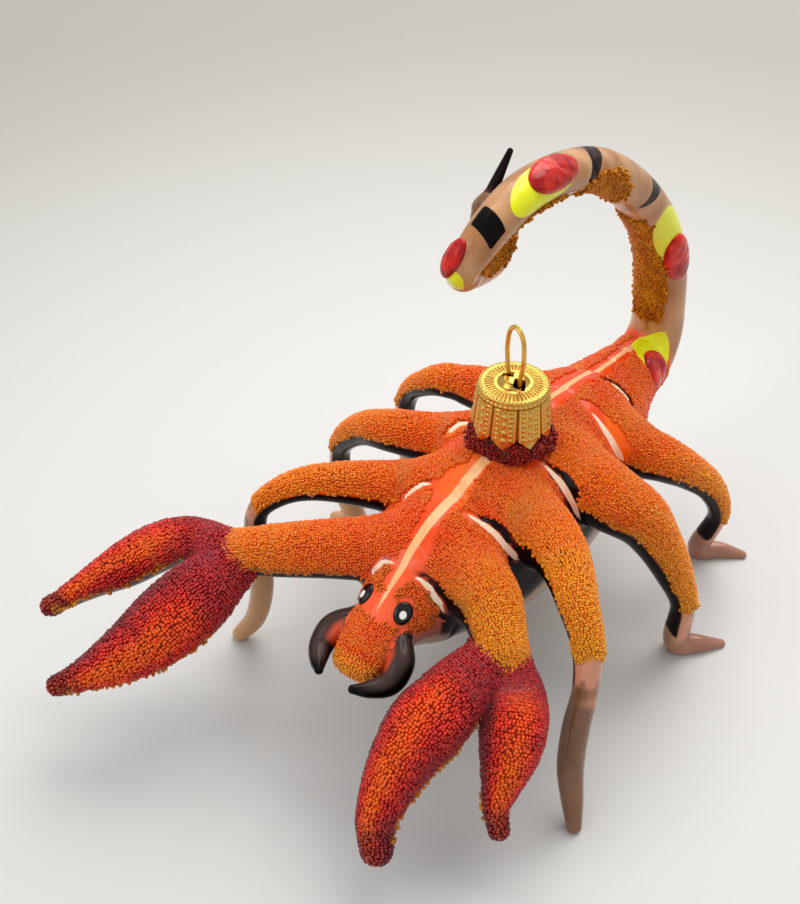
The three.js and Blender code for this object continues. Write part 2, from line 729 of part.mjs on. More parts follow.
const legSpread = neckBore / 2 - GAP - WIRE_DIAMETER / 2;
const loopFoot = DOME_HEIGHT + CAP_WALL;
const halfWire = [
  [legSpread, -WIRE_LEG_DROP],
  [WIRE_LEG_SPACING / 2, -WIRE_LEG_STRAIGHT],
  [WIRE_LEG_SPACING / 2, 0],
  [WIRE_LEG_SPACING / 2, loopFoot],
  ...LOOP_OUTLINE.map(([width, height]) => [LOOP_WIDTH * width, loopFoot + LOOP_HEIGHT * height]),
];
const wirePoints = [
  ...halfWire.map(([u, z]) => new THREE.Vector3(-u, 0, z)),
  new THREE.Vector3(0, 0, loopFoot + LOOP_HEIGHT),
  ...halfWire.toReversed().map(([u, z]) => new THREE.Vector3(u, 0, z)),
];
const wireSection = new THREE.Shape(
  turnAngles(0, 2 * Math.PI, WIRE_SIDES).slice(0, -1)
    .map((a) => new THREE.Vector2(Math.cos(a), Math.sin(a)).multiplyScalar(WIRE_DIAMETER / 2)),
);
const wire = new THREE.ExtrudeGeometry(wireSection, {
  steps: WIRE_STEPS,
  bevelEnabled: false,
  extrudePath: new THREE.CatmullRomCurve3(wirePoints, false, 'centripetal'),
});
addPiece('hanger_wire', toSolid(wire), 'gold_metal', hangerGroup);

// The origin is the middle of the footprint, on the ground

scorpion.updateMatrixWorld(true);
const bounds = new THREE.Box3().setFromObject(scorpion, true);
const middle = bounds.getCenter(new THREE.Vector3());
scorpion.position.set(-middle.x, -middle.y, -bounds.min.z);

export default scorpion;
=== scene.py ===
"""Looks of a hanging glass scorpion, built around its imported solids.

Every length here is in millimetres, in a frame whose X = 0 plane is the middle of the back.
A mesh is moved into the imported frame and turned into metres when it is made.
"""

from __future__ import annotations

import logging
from dataclasses import dataclass, field
from enum import Enum
from typing import Iterable, Sequence

import bpy
import numpy as np
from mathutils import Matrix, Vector


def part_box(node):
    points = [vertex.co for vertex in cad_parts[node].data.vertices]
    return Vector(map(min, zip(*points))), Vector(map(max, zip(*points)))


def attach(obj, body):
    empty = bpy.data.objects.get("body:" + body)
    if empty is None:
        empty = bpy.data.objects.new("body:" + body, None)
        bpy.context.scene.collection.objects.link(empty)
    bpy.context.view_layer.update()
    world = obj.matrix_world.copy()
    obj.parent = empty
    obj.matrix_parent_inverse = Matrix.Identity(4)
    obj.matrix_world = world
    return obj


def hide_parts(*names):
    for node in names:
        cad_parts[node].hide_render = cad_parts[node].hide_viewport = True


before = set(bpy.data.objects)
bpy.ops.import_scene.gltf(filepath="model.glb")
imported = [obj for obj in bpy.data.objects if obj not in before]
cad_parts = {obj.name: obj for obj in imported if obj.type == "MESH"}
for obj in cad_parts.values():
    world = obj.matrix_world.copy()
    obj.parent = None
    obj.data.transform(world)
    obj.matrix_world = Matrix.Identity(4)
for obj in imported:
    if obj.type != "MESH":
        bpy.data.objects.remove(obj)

LOG = logging.getLogger("scorpion")
Array = np.ndarray
Colour = tuple[float, float, float]
Point = tuple[float, float, float]
Curve = tuple[tuple[float, float], ...]  # pairs of a place and the value there
Rows = Sequence[Sequence[float]]
Values = dict[str, Array]  # values on a mesh, by the names of their attributes
Paint = tuple[Values, Values]  # distances inside the brushed marks, and the ground colour, with painted shade and light in places
Rings = tuple[Array, Array, Array]  # radius, height and relief of rings about the neck's axis
Material = bpy.types.Material
Socket = bpy.types.NodeSocket

MM = 0.001
SEED = 11
NECK_Y = 0.5  # place of the neck's axis along the back
OUTSIDE = -1.0  # stands for a distance inside a mark, well outside it
WELL_INSIDE = 9.0  # stands for a distance inside an edge that is far off
TINY = 1e-9  # keeps a division from failing
ROOT_SPACED, EVENLY_SPACED = 0.25, 0.0  # powers that space the knots of a curve
WAVES = 9  # plane waves in a ripple
BLOCK = 1_500_000  # distances that are worked out at a time
GLASS_IOR = 1.5


def srgb(red: int, green: int, blue: int) -> Colour:
    """Linear colour of three display values from 0 to 255.

    Args:
        red: first value.
        green: second value.
        blue: third value.

    Returns:
        The colour.
    """
    shares = np.array([red, green, blue]) / 255
    linear = np.where(shares <= 0.04045, shares / 12.92, ((shares + 0.055) / 1.055) ** 2.4)
    return tuple(float(value) for value in linear)


class Tint(Enum):
    """Colours of the paints, glasses, beads and metal."""

    FLAME = srgb(236, 74, 22)
    BRIGHT_ORANGE = srgb(250, 112, 30)
    CORAL = srgb(244, 92, 50)
    CREAM = srgb(255, 186, 124)
    PALE_CREAM = srgb(250, 226, 200)
    PLUM = srgb(22, 11, 11)
    MAUVE = srgb(112, 60, 58)
    SMOKE = srgb(64, 48, 44)
    SOOT = srgb(7, 6, 6)
    SALMON = srgb(214, 146, 122)
    TAN = srgb(168, 112, 70)
    PALE_TAN = srgb(196, 146, 102)
    BELLY = srgb(176, 132, 104)
    SLATE = srgb(70, 66, 66)
    LEMON = srgb(228, 230, 14)
    PALE_LEMON = srgb(246, 248, 70)
    BROWN = srgb(112, 76, 54)
    ROSE = srgb(158, 108, 92)
    WHITE = srgb(244, 244, 240)
    BEAD_ORANGE = srgb(255, 110, 12)
    BEAD_AMBER = srgb(255, 144, 24)
    BEAD_RED = srgb(255, 84, 12)
    BEAD_YELLOW = srgb(248, 158, 28)
    BEAD_GOLD = srgb(216, 140, 12)
    BEAD_HONEY = srgb(170, 92, 0)
    BEAD_OLIVE = srgb(150, 98, 10)
    BEAD_COLLAR = srgb(150, 14, 14)
    BEAD_RUBY = srgb(216, 40, 24)
    BEAD_WINE = srgb(148, 20, 34)
    BEAD_MAROON = srgb(104, 12, 20)
    GLASS_GREY = srgb(96, 84, 92)

    def array(self) -> Array:
        """The colour as an array of three."""
        return np.array(self.value)


class Flank(Enum):
    """The two sides of the animal."""

    LEFT = 1
    RIGHT = -1


def smoothstep(low: float | Array, high: float | Array, x: Array) -> Array:
    """Smooth ramp from 0 at low to 1 at high."""
    t = np.clip((x - low) / (high - low), 0, 1)
    return t * t * (3 - 2 * t)


def fade(low: float | Array, high: float | Array, x: Array) -> Array:
    """Smooth fall from 1 at low to 0 at high."""
    return 1 - smoothstep(low, high, x)


def ridge(x: Array, middle: float | Array, width: float) -> Array:
    """Rounded ridge that is 1 at its middle: a bell curve of a width."""
    return np.exp(-(((x - middle) / width) ** 2))


def round_dot(dx: Array, dz: Array, size: float, high: float) -> Array:
    """Height of a round dot at offsets from its middle: half a ball, flattened."""
    return high * np.sqrt(np.maximum(1 - (dx**2 + dz**2) / size**2, 0))


def from_nearest(place: Array, pitch: float, first: float = 0.0) -> Array:
    """Offset from the nearest of many places that lie a pitch apart."""
    return (place - first + pitch / 2) % pitch - pitch / 2


def smooth_min(a: Array, b: Array, width: float) -> Array:
    """Lesser of two distances, rounded over a width where they are nearly equal."""
    near = np.maximum(width - np.abs(a - b), 0) / width
    return np.minimum(a, b) - near * near * width / 4


def unit(vectors: Array) -> Array:
    """Vectors divided by their lengths."""
    return vectors / np.maximum(np.linalg.norm(vectors, axis=-1, keepdims=True), TINY)


def mix(a: Array | Tint, b: Array | Tint, share: Array | float) -> Array:
    """Colours between a and b, by a share for each point."""
    start, end = (colour.array() if isinstance(colour, Tint) else colour for colour in (a, b))
    return start + (end - start) * np.asarray(share)[..., None]


def ripple(points: Array, size: float, seed: int) -> Array:
    """Smooth noise from about -1 to 1: the mean of plane waves with seeded directions.

    Args:
        points: places, with three coordinates last.
        size: mean wave length.
        seed: number that fixes the waves.

    Returns:
        One value for each place.
    """
    rng = np.random.default_rng(seed)
    waves = unit(rng.normal(size=(WAVES, 3))) * (2 * np.pi / size)
    waves = waves * rng.uniform(0.6, 1.6, (WAVES, 1))
    return 1.8 * np.sin(points @ waves.T + rng.uniform(0, 2 * np.pi, WAVES)).mean(-1)


def clouds(points: Array, size: float, seed: int, middle: float | Array, swing: float) -> Array:
    """Share from 0 to 1 that drifts about a middle value with a ripple over the points."""
    return np.clip(middle + swing * ripple(points, size, seed), 0, 1)


def spline(rows: Array, stations: Array, power: float) -> Array:
    """Smooth curve through rows: one cubic in each span, with slopes from the neighbouring rows.

    Args:
        rows: values at the whole stations.
        stations: where the curve is wanted.
        power: spacing of the knots, as a power of the squared distance between them.

    Returns:
        The values at the stations.
    """
    padded = np.vstack([2 * rows[0] - rows[1], rows, 2 * rows[-1] - rows[-2]])
    span = np.clip(np.floor(stations).astype(int), 0, len(rows) - 2)
    w = (stations - span)[:, None]
    p0, p1, p2, p3 = (padded[span + i] for i in range(4))
    squares = [((b - a) ** 2).sum(1, keepdims=True) for a, b in ((p0, p1), (p1, p2), (p2, p3))]
    d0, d1, d2 = (np.maximum(square, TINY) ** power for square in squares)
    t1 = ((p1 - p0) / d0 - (p2 - p0) / (d0 + d1) + (p2 - p1) / d1) * d1
    t2 = ((p2 - p1) / d1 - (p3 - p1) / (d1 + d2) + (p3 - p2) / d2) * d1
    return p1 + w * (t1 + w * (3 * (p2 - p1) - 2 * t1 - t2 + w * (2 * (p1 - p2) + t1 + t2)))


def running_length(line: Array) -> Array:
    """Length along a line of points, from 0."""
    return np.concatenate([[0], np.cumsum(np.linalg.norm(np.diff(line, axis=0), axis=1))])


def carried_normals(tangents: Array) -> Array:
    """Normals that start at +Z and are carried along a path without twist.

    Args:
        tangents: directions of the path at its rings.

    Returns:
        One normal for each ring.
    """
    normals = np.empty_like(tangents)
    normal = np.array([0.0, 0.0, 1.0])
    for i, tangent in enumerate(tangents):
        normal = normal - tangent * (normal @ tangent)
        normal /= np.linalg.norm(normal)
        normals[i] = normal
    return normals


def packed_offset() -> Array:
    """Offset from this file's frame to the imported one, by the cap, which stands on the neck."""
    low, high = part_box("crown_cap")
    return np.array([(low.x + high.x) / 2 / MM, (low.y + high.y) / 2 / MM - NECK_Y, 0.0])


OFFSET = packed_offset()


# Meshes

@dataclass
class Piece:
    """One mesh before it is made: vertices, quads, triangles and values on the vertices."""

    name: str
    vertices: Array
    quads: Array
    triangles: Array
    floats: Values = field(default_factory=dict)
    colours: Values = field(default_factory=dict)

    def make(self, material: Material, body: str, slot: str, replaces: Sequence[str] = ()) -> None:
        """Makes the Blender object and ties it to the frame.

        Args:
            material: finish of the whole piece.
            body: CAD body that it moves with.
            slot: material slot of the record; not used.
            replaces: CAD nodes that it stands for.
        """
        mesh = bpy.data.meshes.new(self.name)
        loops = np.concatenate([self.quads.ravel(), self.triangles.ravel()]).astype(np.int32)
        corners = np.repeat([4, 3], [len(self.quads), len(self.triangles)])
        starts = (np.cumsum(corners) - corners).astype(np.int32)
        mesh.vertices.add(len(self.vertices))
        places = ((self.vertices + OFFSET) * MM).astype(np.float32)
        mesh.vertices.foreach_set("co", places.ravel())
        mesh.loops.add(len(loops))
        mesh.loops.foreach_set("vertex_index", loops)
        mesh.polygons.add(len(starts))
        mesh.polygons.foreach_set("loop_start", starts)
        mesh.polygons.foreach_set("use_smooth", np.ones(len(starts), bool))
        for name, values in self.floats.items():
            layer = mesh.attributes.new(name, "FLOAT", "POINT")
            layer.data.foreach_set("value", values.astype(np.float32).ravel())
        for name, values in self.colours.items():
            layer = mesh.attributes.new(name, "FLOAT_COLOR", "POINT")
            rgba = np.concatenate([values, np.ones((len(self.vertices), 1))], axis=1)
            layer.data.foreach_set("color", rgba.astype(np.float32).ravel())
        mesh.update(calc_edges=True)
        mesh.validate()
        mesh.materials.append(material)
        piece = bpy.data.objects.new(self.name, mesh)
        bpy.context.scene.collection.objects.link(piece)
        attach(piece, body)
        if replaces:
            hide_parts(*replaces)
        LOG.info("%s: %d vertices, %d faces", self.name, len(self.vertices), len(starts))


def wrapped_grid(rows: int, columns: int) -> tuple[Array, Array]:
    """Faces of a grid closed round its columns, with a pole at each end.

    Args:
        rows: number of rings.
        columns: vertices in a ring.

    Returns:
        Quads and triangles. The poles are the last two vertices.
    """
    ring = np.arange(columns)
    following = (ring + 1) % columns
    here = np.arange(rows - 1)[:, None] * columns
    after = here + columns
    quads = np.stack([here + ring, here + following, after + following, after + ring], -1)
    last = (rows - 1) * columns
    start = np.full(columns, rows * columns)
    triangles = np.concatenate([
        np.stack([start, following, ring], -1),
        np.stack([start + 1, last + ring, last + following], -1),
    ])
    return quads.reshape(-1, 4), triangles


def end_means(values: Array) -> Array:
    """Means over the first and over the last ring, for the poles."""
    return np.stack([values[0].mean(0), values[-1].mean(0)])


def grid_piece(name: str, points: Array, poles: Array, floats: Values | None = None,
               colours: Values | None = None) -> Piece:
    """Closed piece from rings of points and two poles, with its faces outwards.

    Args:
        name: name of the piece.
        points: rings, as rows by columns by three.
        poles: the two poles.
        floats: values on the rings.
        colours: colours on the rings.

    Returns:
        The piece.
    """
    quads, triangles = wrapped_grid(*points.shape[:2])
    vertices = np.concatenate([points.reshape(-1, 3), poles])
    a, b, c, d = (vertices[quads[:, i]] for i in range(4))
    volume = np.einsum("ij,ij->", a, np.cross(b, c)) + np.einsum("ij,ij->", a, np.cross(c, d))
    if volume < 0:
        quads, triangles = quads[:, ::-1], triangles[:, ::-1]
    flat_floats = {key: np.append(value, end_means(value)) for key, value in (floats or {}).items()}
    flat_colours = {
        key: np.concatenate([value.reshape(-1, 3), end_means(value)])
        for key, value in (colours or {}).items()
    }
    return Piece(name, vertices, quads, triangles, flat_floats, flat_colours)


# Glass forms and how they melt together

@dataclass
class Form:
    """A rounded form along a smooth path, with an oval section that changes on the way."""

    name: str
    centres: Array
    halves: Array
    sides: int = 44
    pitch: float = 0.6  # from ring to ring
    blunt: float = 0.9  # length of the rounded ends, as a share of the half section
    fillet: float = 2.2  # width of the melted corner where it meets other glass
    oval: bool = False
    cap_rings: int = 16
    bone: float = 1.4  # length of the cones that stand for the form when it is measured
    fine_steps: int = 24  # steps per span when the path's length is measured
    core: float = 1e-3  # share of an oval section that counts as its axis
    end_flat: float = 0.4  # flat middle of a loft's ends, as a share of the half width

    @classmethod
    def tube(cls, name: str, rows: Rows, **options: float) -> Form:
        """Form with round sections, from rows of x, y, z and diameter."""
        table = np.array(rows, float)
        return cls(name, table[:, :3], np.repeat(table[:, 3:] / 2, 2, axis=1), **options)

    @classmethod
    def loft(cls, name: str, rows: Rows, **options: float) -> Form:
        """Form with oval sections along the back.

        Args:
            name: name of the form.
            rows: y, underside, back and width at each section.
            options: other fields of the form.

        Returns:
            The form.
        """
        y, under, back, width = np.array(rows, float).T
        centres = np.stack([np.zeros_like(y), y, (under + back) / 2], -1)
        return cls(name, centres, np.stack([width, back - under], -1) / 2, oval=True, **options)

    def __post_init__(self) -> None:
        """Spaces rings evenly along the path and carries a frame along them."""
        last = len(self.centres) - 1
        fine = np.linspace(0, last, last * self.fine_steps + 1)
        lengths = running_length(spline(self.centres, fine, ROOT_SPACED))
        self.arc = np.linspace(0, lengths[-1], int(np.ceil(lengths[-1] / self.pitch)) + 1)
        self.station = np.interp(self.arc, lengths, fine)
        self.line = spline(self.centres, self.station, ROOT_SPACED)
        self.half = spline(self.halves, self.station, EVENLY_SPACED)
        self.tangent = unit(np.gradient(self.line, axis=0))
        self.normal = carried_normals(self.tangent)
        self.side = np.cross(self.tangent, self.normal)
        self.low = self.line.min(0) - self.half.max()
        self.high = self.line.max(0) + self.half.max()
        every = np.arange(0, len(self.line), max(1, round(self.bone / self.pitch)))
        keep = np.unique(np.append(every, len(self.line) - 1))
        self.bones = self.line[keep]
        self.bone_radius = self.half[keep].mean(1)

    def arc_at(self, station: float) -> float:
        """Length along the path at a station."""
        return float(np.interp(station, self.station, self.arc))

    def girth(self, arc: Array | float) -> Array:
        """Half width at lengths along the path."""
        return np.interp(arc, self.arc, self.half[:, 0])

    def shell(self) -> tuple[Array, Array, Array, Array]:
        """Rings of the form with rounded ends.

        A ring is an ellipse across the path. Towards an end the rings shrink by the cosine of an
        angle and move on by its sine.

        Returns:
            Points, outward directions, the path's ring that each ring belongs to, and the poles.
        """
        bend = np.linspace(np.pi / 2, 0, self.cap_rings + 1)[1:-1]
        n = len(self.line)
        ring = np.concatenate([np.zeros(len(bend), int), np.arange(n), np.full(len(bend), n - 1)])
        rise = np.concatenate([-bend, np.zeros(n), bend[::-1]])
        turn = self.turn()
        across = (
            np.cos(turn)[None, :, None] * self.normal[ring][:, None] * self.half[ring][:, None, 1:]
            + np.sin(turn)[None, :, None] * self.side[ring][:, None] * self.half[ring][:, None, :1]
        )
        reach = self.half.min(1) * self.blunt
        shrink, climb = np.cos(rise)[:, None, None], np.sin(rise)[:, None]
        ahead = climb * reach[ring][:, None] * self.tangent[ring]
        points = (self.line[ring] + ahead)[:, None] + shrink * across
        outward = unit(shrink * unit(across) + (climb * self.tangent[ring])[:, None])
        poles = np.stack([
            self.line[0] - reach[0] * self.tangent[0],
            self.line[-1] + reach[-1] * self.tangent[-1],
        ])
        return points, outward, ring, poles

    def turn(self) -> Array:
        """Angles round a ring, from the top, between minus and plus half a turn."""
        return (np.arange(self.sides) / self.sides - 0.5) * 2 * np.pi

    def distance(self, points: Array) -> Array:
        """Distance from points to the surface, negative inside."""
        return self.oval_distance(points) if self.oval else self.chain_distance(points)

    def chain_distance(self, points: Array) -> Array:
        """Distance to a chain of cones with round ends, in blocks that fit the memory.

        Args:
            points: places to measure.

        Returns:
            Distances, negative inside.
        """
        start, along = self.bones[:-1], np.diff(self.bones, axis=0)
        length = np.maximum((along**2).sum(1), TINY)
        r0, dr = self.bone_radius[:-1], np.diff(self.bone_radius)
        found = []
        for block in np.array_split(points, len(points) * len(start) // BLOCK + 1):
            away = block[:, None] - start[None]
            share = np.clip((away * along).sum(2) / length, 0, 1)
            away -= share[..., None] * along
            found.append((np.sqrt((away**2).sum(2)) - r0 - share * dr).min(1))
        return np.concatenate(found)

    def oval_distance(self, points: Array) -> Array:
        """Distance to an oval loft along Y, measured across the section.

        Args:
            points: places to measure.

        Returns:
            Distances, negative inside.
        """
        order = np.argsort(self.line[:, 1])
        y = self.line[order, 1]
        at = np.clip(points[:, 1], y[0], y[-1])
        middle = np.interp(at, y, self.line[order, 2])
        wide = np.interp(at, y, self.half[order, 0])
        high = np.interp(at, y, self.half[order, 1])
        dx, dz = points[:, 0], points[:, 2] - middle
        reach = np.hypot(dx, dz)
        share = np.hypot(dx / wide, dz / high)
        scaled = reach - reach / np.maximum(share, self.core)
        across = np.where(share > self.core, scaled, -np.minimum(wide, high))
        beyond, flat = np.abs(points[:, 1] - at), wide * self.end_flat
        past_end = np.hypot(np.maximum(across + flat, 0), beyond) - flat
        return np.where(beyond > 0, past_end, across)


@dataclass
class Spots:
    """Places on a skin, where they are on the form, and how far from other glass."""

    points: Array
    normals: Array
    arc: Array
    turn: Array
    clear: Array

    def kept(self, mask: Array) -> Spots:
        """The spots where the mask is true."""
        columns = (self.points, self.normals, self.arc, self.turn, self.clear)
        return Spots(*(values[mask] for values in columns))


@dataclass
class Skin:
    """Finished surface of a form as a grid of rings by columns."""

    form: Form
    points: Array
    poles: Array
    ring: Array
    clear: Array

    def __post_init__(self) -> None:
        """Works out the normals from the grid's two directions."""
        along = np.gradient(self.points, axis=0)
        around = np.roll(self.points, -1, 1) - np.roll(self.points, 1, 1)
        normals = unit(np.cross(around, along))
        middle = self.form.line[self.ring][:, None]
        outward = np.einsum("ijk,ijk->ij", normals, self.points - middle).sum()
        self.normals = normals * (1 if outward > 0 else -1)
        self.arc = np.broadcast_to(self.form.arc[self.ring][:, None], self.clear.shape)
        self.turn = np.broadcast_to(self.form.turn()[None], self.clear.shape)

    def sample(self, row: Array, column: Array) -> Spots:
        """Places between the grid's vertices, by weights on four neighbours.

        Args:
            row: places along the rings.
            column: places round the rings, which wrap.

        Returns:
            The spots.
        """
        rows, columns = self.clear.shape
        i = np.clip(np.floor(row).astype(int), 0, rows - 2)
        j = np.floor(column).astype(int)
        u, v = row - i, column - j
        j0, j1 = j % columns, (j + 1) % columns
        corners = (
            (i, j0, (1 - u) * (1 - v)),
            (i, j1, (1 - u) * v),
            (i + 1, j0, u * (1 - v)),
            (i + 1, j1, u * v),
        )
        points = sum(self.points[a, b] * w[:, None] for a, b, w in corners)
        normals = unit(sum(self.normals[a, b] * w[:, None] for a, b, w in corners))
        clear = sum(self.clear[a, b] * w for a, b, w in corners)
        arc = np.interp(row, np.arange(rows), self.form.arc[self.ring])
        turn = (column % columns / columns - 0.5) * 2 * np.pi
        return Spots(points, normals, arc, turn, clear)

    def at(self, arc: Array, turn: Array) -> Spots:
        """Spots by their places on the form.

        Args:
            arc: lengths along the form.
            turn: turns in degrees.

        Returns:
            The spots.
        """
        first = np.searchsorted(self.ring, 1) - 1
        row = first + np.interp(arc, self.form.arc, np.arange(len(self.form.arc)))
        return self.sample(row, (turn / 360 + 0.5) * self.clear.shape[1])

    def piece(self, name: str, floats: Values, colours: Values) -> Piece:
        """The skin as a closed piece with values on its vertices."""
        return grid_piece(name, self.points, self.poles, floats, colours)


@dataclass
class Glass:
    """All glass forms of the animal, which melt into each other where they meet."""

    forms: dict[str, Form]
    tuck: float = 1.4  # how deep a skin's root stays in the other glass
    steps: int = 7  # steps in which a skin is pushed out
    reach: float = 5.0  # how far off another form still counts
    far: float = 60.0  # stands for the distance where no other form is near

    def union(self, form: Form, points: Array) -> tuple[Array, Array]:
        """Distance to the melted whole and distance to everything but the form itself.

        Args:
            form: the form that the points belong to.
            points: places to measure.

        Returns:
            The two distances.
        """
        whole = form.distance(points)
        clear = np.full(len(points), self.far)
        for other in self.forms.values():
            low, high = other.low - self.reach, other.high + self.reach
            near = np.all((points > low) & (points < high), axis=1)
            if other is form or not near.any():
                continue
            gap = other.distance(points[near])
            clear[near] = np.minimum(clear[near], gap)
            whole[near] = smooth_min(whole[near], gap, min(form.fillet, other.fillet))
        return whole, clear

    def skin(self, name: str) -> Skin:
        """Surface of one form, pushed out to the melted whole and hidden inside what it meets.

        Args:
            name: name of the form.

        Returns:
            The surface.
        """
        form = self.forms[name]
        points, outward, ring, poles = form.shell()
        flat, out = points.reshape(-1, 3).copy(), outward.reshape(-1, 3)
        clear = self.union(form, flat)[1]
        zone = (clear < form.fillet) & (clear > -self.tuck)
        moved = flat[zone]
        for _ in range(self.steps):
            whole = self.union(form, moved)[0] if len(moved) else np.zeros(0)
            moved = moved + out[zone] * np.maximum(-whole, 0)[:, None]
        weight = smoothstep(-self.tuck, 0, clear[zone])[:, None]
        flat[zone] += weight * (moved - flat[zone])
        shape = points.shape[:2]
        return Skin(form, flat.reshape(points.shape), poles, ring, clear.reshape(shape))


# Finishes

@dataclass
class Shader:
    """A material's node tree while it is being built."""

    name: str

    def __post_init__(self) -> None:
        """Starts a material with one main shader."""
        self.material = bpy.data.materials.new(self.name)
        self.material.use_nodes = True
        self.nodes = self.material.node_tree.nodes
        self.links = self.material.node_tree.links
        self.main = self.nodes["Principled BSDF"]

    def set(self, **values: float | Colour) -> None:
        """Sets sockets of the main shader, with underscores for spaces in their names."""
        for key, value in values.items():
            socket = self.main.inputs[key.replace("_", " ")]
            socket.default_value = (*value, 1.0) if socket.type == "RGBA" else value

    def attribute(self, name: str, colour: bool = False) -> Socket:
        """Value or colour that is stored on the mesh.

        Args:
            name: name of the attribute.
            colour: whether it is a colour.

        Returns:
            The value.
        """
        node = self.nodes.new("ShaderNodeAttribute")
        node.attribute_name = name
        return node.outputs["Color" if colour else "Fac"]

    def ramp(self, value: Socket, low: float, high: float,
             to: tuple[float, float] = (0.0, 1.0)) -> Socket:
        """Smooth change of a value from one range to another.

        Args:
            value: what is changed.
            low: start of its range.
            high: end of its range.
            to: start and end of the new range.

        Returns:
            The changed value.
        """
        node = self.nodes.new("ShaderNodeMapRange")
        node.interpolation_type = "SMOOTHSTEP"
        node.inputs["From Min"].default_value = low
        node.inputs["From Max"].default_value = high
        node.inputs["To Min"].default_value, node.inputs["To Max"].default_value = to
        self.links.new(value, node.inputs["Value"])
        return node.outputs["Result"]

    def blend(self, share: Socket, a: Socket | Colour, b: Socket | Colour,
              mode: str = "MIX") -> Socket:
        """Mix of two colours.

        Args:
            share: share of the second colour.
            a: first colour.
            b: second colour.
            mode: how they are mixed.

        Returns:
            The mixed colour.
        """
        node = self.nodes.new("ShaderNodeMix")
        node.data_type = "RGBA"
        node.blend_type = mode
        self.links.new(share, node.inputs["Factor"])
        for socket, value in ((node.inputs[6], a), (node.inputs[7], b)):
            if isinstance(value, tuple):
                socket.default_value = (*value, 1.0)
            else:
                self.links.new(value, socket)
        return node.outputs[2]

    def noise(self, size: float, detail: float = 2.0, stretch: Point = (1, 1, 1)) -> Socket:
        """Soft noise on object coordinates.

        Args:
            size: size of its clouds in millimetres.
            detail: finer layers of the noise.
            stretch: scale along each axis.

        Returns:
            A value from 0 to 1.
        """
        where = self.nodes.new("ShaderNodeTexCoord")
        mapping = self.nodes.new("ShaderNodeMapping")
        mapping.inputs["Scale"].default_value = stretch
        node = self.nodes.new("ShaderNodeTexNoise")
        node.inputs["Scale"].default_value = 1 / (size * MM)
        node.inputs["Detail"].default_value = detail
        self.links.new(where.outputs["Object"], mapping.inputs["Vector"])
        self.links.new(mapping.outputs["Vector"], node.inputs["Vector"])
        return node.outputs["Fac"]

    def bump(self, height: Socket, depth: float, strength: float) -> None:
        """Fine relief of the surface.

        Args:
            height: height from 0 to 1.
            depth: depth of the relief in millimetres.
            strength: share of the relief that shows.
        """
        node = self.nodes.new("ShaderNodeBump")
        node.inputs["Strength"].default_value = strength
        node.inputs["Distance"].default_value = depth * MM
        self.links.new(height, node.inputs["Height"])
        self.links.new(node.outputs["Normal"], self.main.inputs["Normal"])

    def to(self, value: Socket, socket: str) -> None:
        """Links a value to a socket of the main shader."""
        self.links.new(value, self.main.inputs[socket])

    def rough(self, size: float, low: float, high: float, detail: float = 2.0) -> None:
        """Roughness that drifts softly between two values."""
        self.to(self.ramp(self.noise(size, detail), 0.3, 0.7, (low, high)), "Roughness")


@dataclass(frozen=True)
class Mark:
    """A painted mark: a distance stored on the mesh, which is positive inside the mark."""

    attribute: str
    tint: Tint
    worn: Tint
    soft: float = 0.06  # half width of its edge


@dataclass(frozen=True)
class PaintedGlass:
    """Blown glass with grounds from the mesh, sprayed paint with painted shade and light in places,
    and sharp brushed marks over them.
    """

    name: str
    marks: tuple[Mark, ...] = ()
    roughness: float = 0.16
    streak: Point = (1, 1, 1)
    mottle: float = 0.16
    shine: float = 0.24
    dark_shine: float = 0.06  # shine of dark paint
    coat: float = 0.05
    bare_coat: float = 0.4  # clear coat of bare glass
    wear: float = 0.35  # share of the worn tint in a mark

    def material(self) -> Material:
        """The finish as a node material.

        Returns:
            The material.
        """
        shader = Shader(self.name)
        ground = shader.attribute("paint", colour=True)
        cloud = shader.noise(2.6, 3.0, self.streak)
        light = shader.ramp(cloud, 0.3, 0.7, (0.0, self.mottle))
        colour = shader.blend(light, ground, Tint.WHITE.value, "SOFT_LIGHT")
        dark = shader.ramp(shader.noise(5.5, 2.0, self.streak), 0.35, 0.75, (0.0, self.mottle))
        colour = shader.blend(dark, colour, Tint.SOOT.value, "SOFT_LIGHT")
        for mark in self.marks:
            inside = shader.ramp(shader.attribute(mark.attribute), -mark.soft, mark.soft)
            worn = shader.ramp(shader.noise(1.4), 0.4, 0.75, (0.0, self.wear))
            brushed = shader.blend(worn, mark.tint.value, mark.worn.value)
            colour = shader.blend(inside, colour, brushed)
        shader.to(colour, "Base Color")
        shader.rough(1.7, self.roughness * 0.75, self.roughness * 1.35)
        grey = shader.nodes.new("ShaderNodeRGBToBW")
        shader.links.new(colour, grey.inputs["Color"])
        shine = shader.ramp(grey.outputs["Val"], 0.0, 0.12, (self.dark_shine, self.shine))
        shader.to(shine, "Specular IOR Level")
        coat = shader.ramp(shader.attribute("gloss"), 0.0, 1.0, (self.coat, self.bare_coat))
        shader.to(coat, "Coat Weight")
        shader.set(IOR=GLASS_IOR, Coat_Roughness=0.08)
        shader.bump(shader.noise(3.2, 1.0), 0.05, 0.5)
        return shader.material


@dataclass(frozen=True)
class BeadGlass:
    """Fine beads of clear coloured glass, each with the colour that the mesh gives it."""

    name: str
    roughness: float = 0.13
    shine: float = 0.45
    glow: float = 0.6  # share of light that passes through the beads
    glow_radius: Point = (1.0, 0.45, 0.2)
    glow_depth: float = 0.7

    def material(self) -> Material:
        """The finish as a node material.

        Returns:
            The material.
        """
        shader = Shader(self.name)
        shader.to(shader.attribute("bead", colour=True), "Base Color")
        shader.rough(0.5, self.roughness * 0.7, self.roughness * 1.6)
        shader.set(IOR=GLASS_IOR, Specular_IOR_Level=self.shine, Subsurface_Weight=self.glow,
                   Subsurface_Radius=self.glow_radius, Subsurface_Scale=self.glow_depth * MM)
        return shader.material


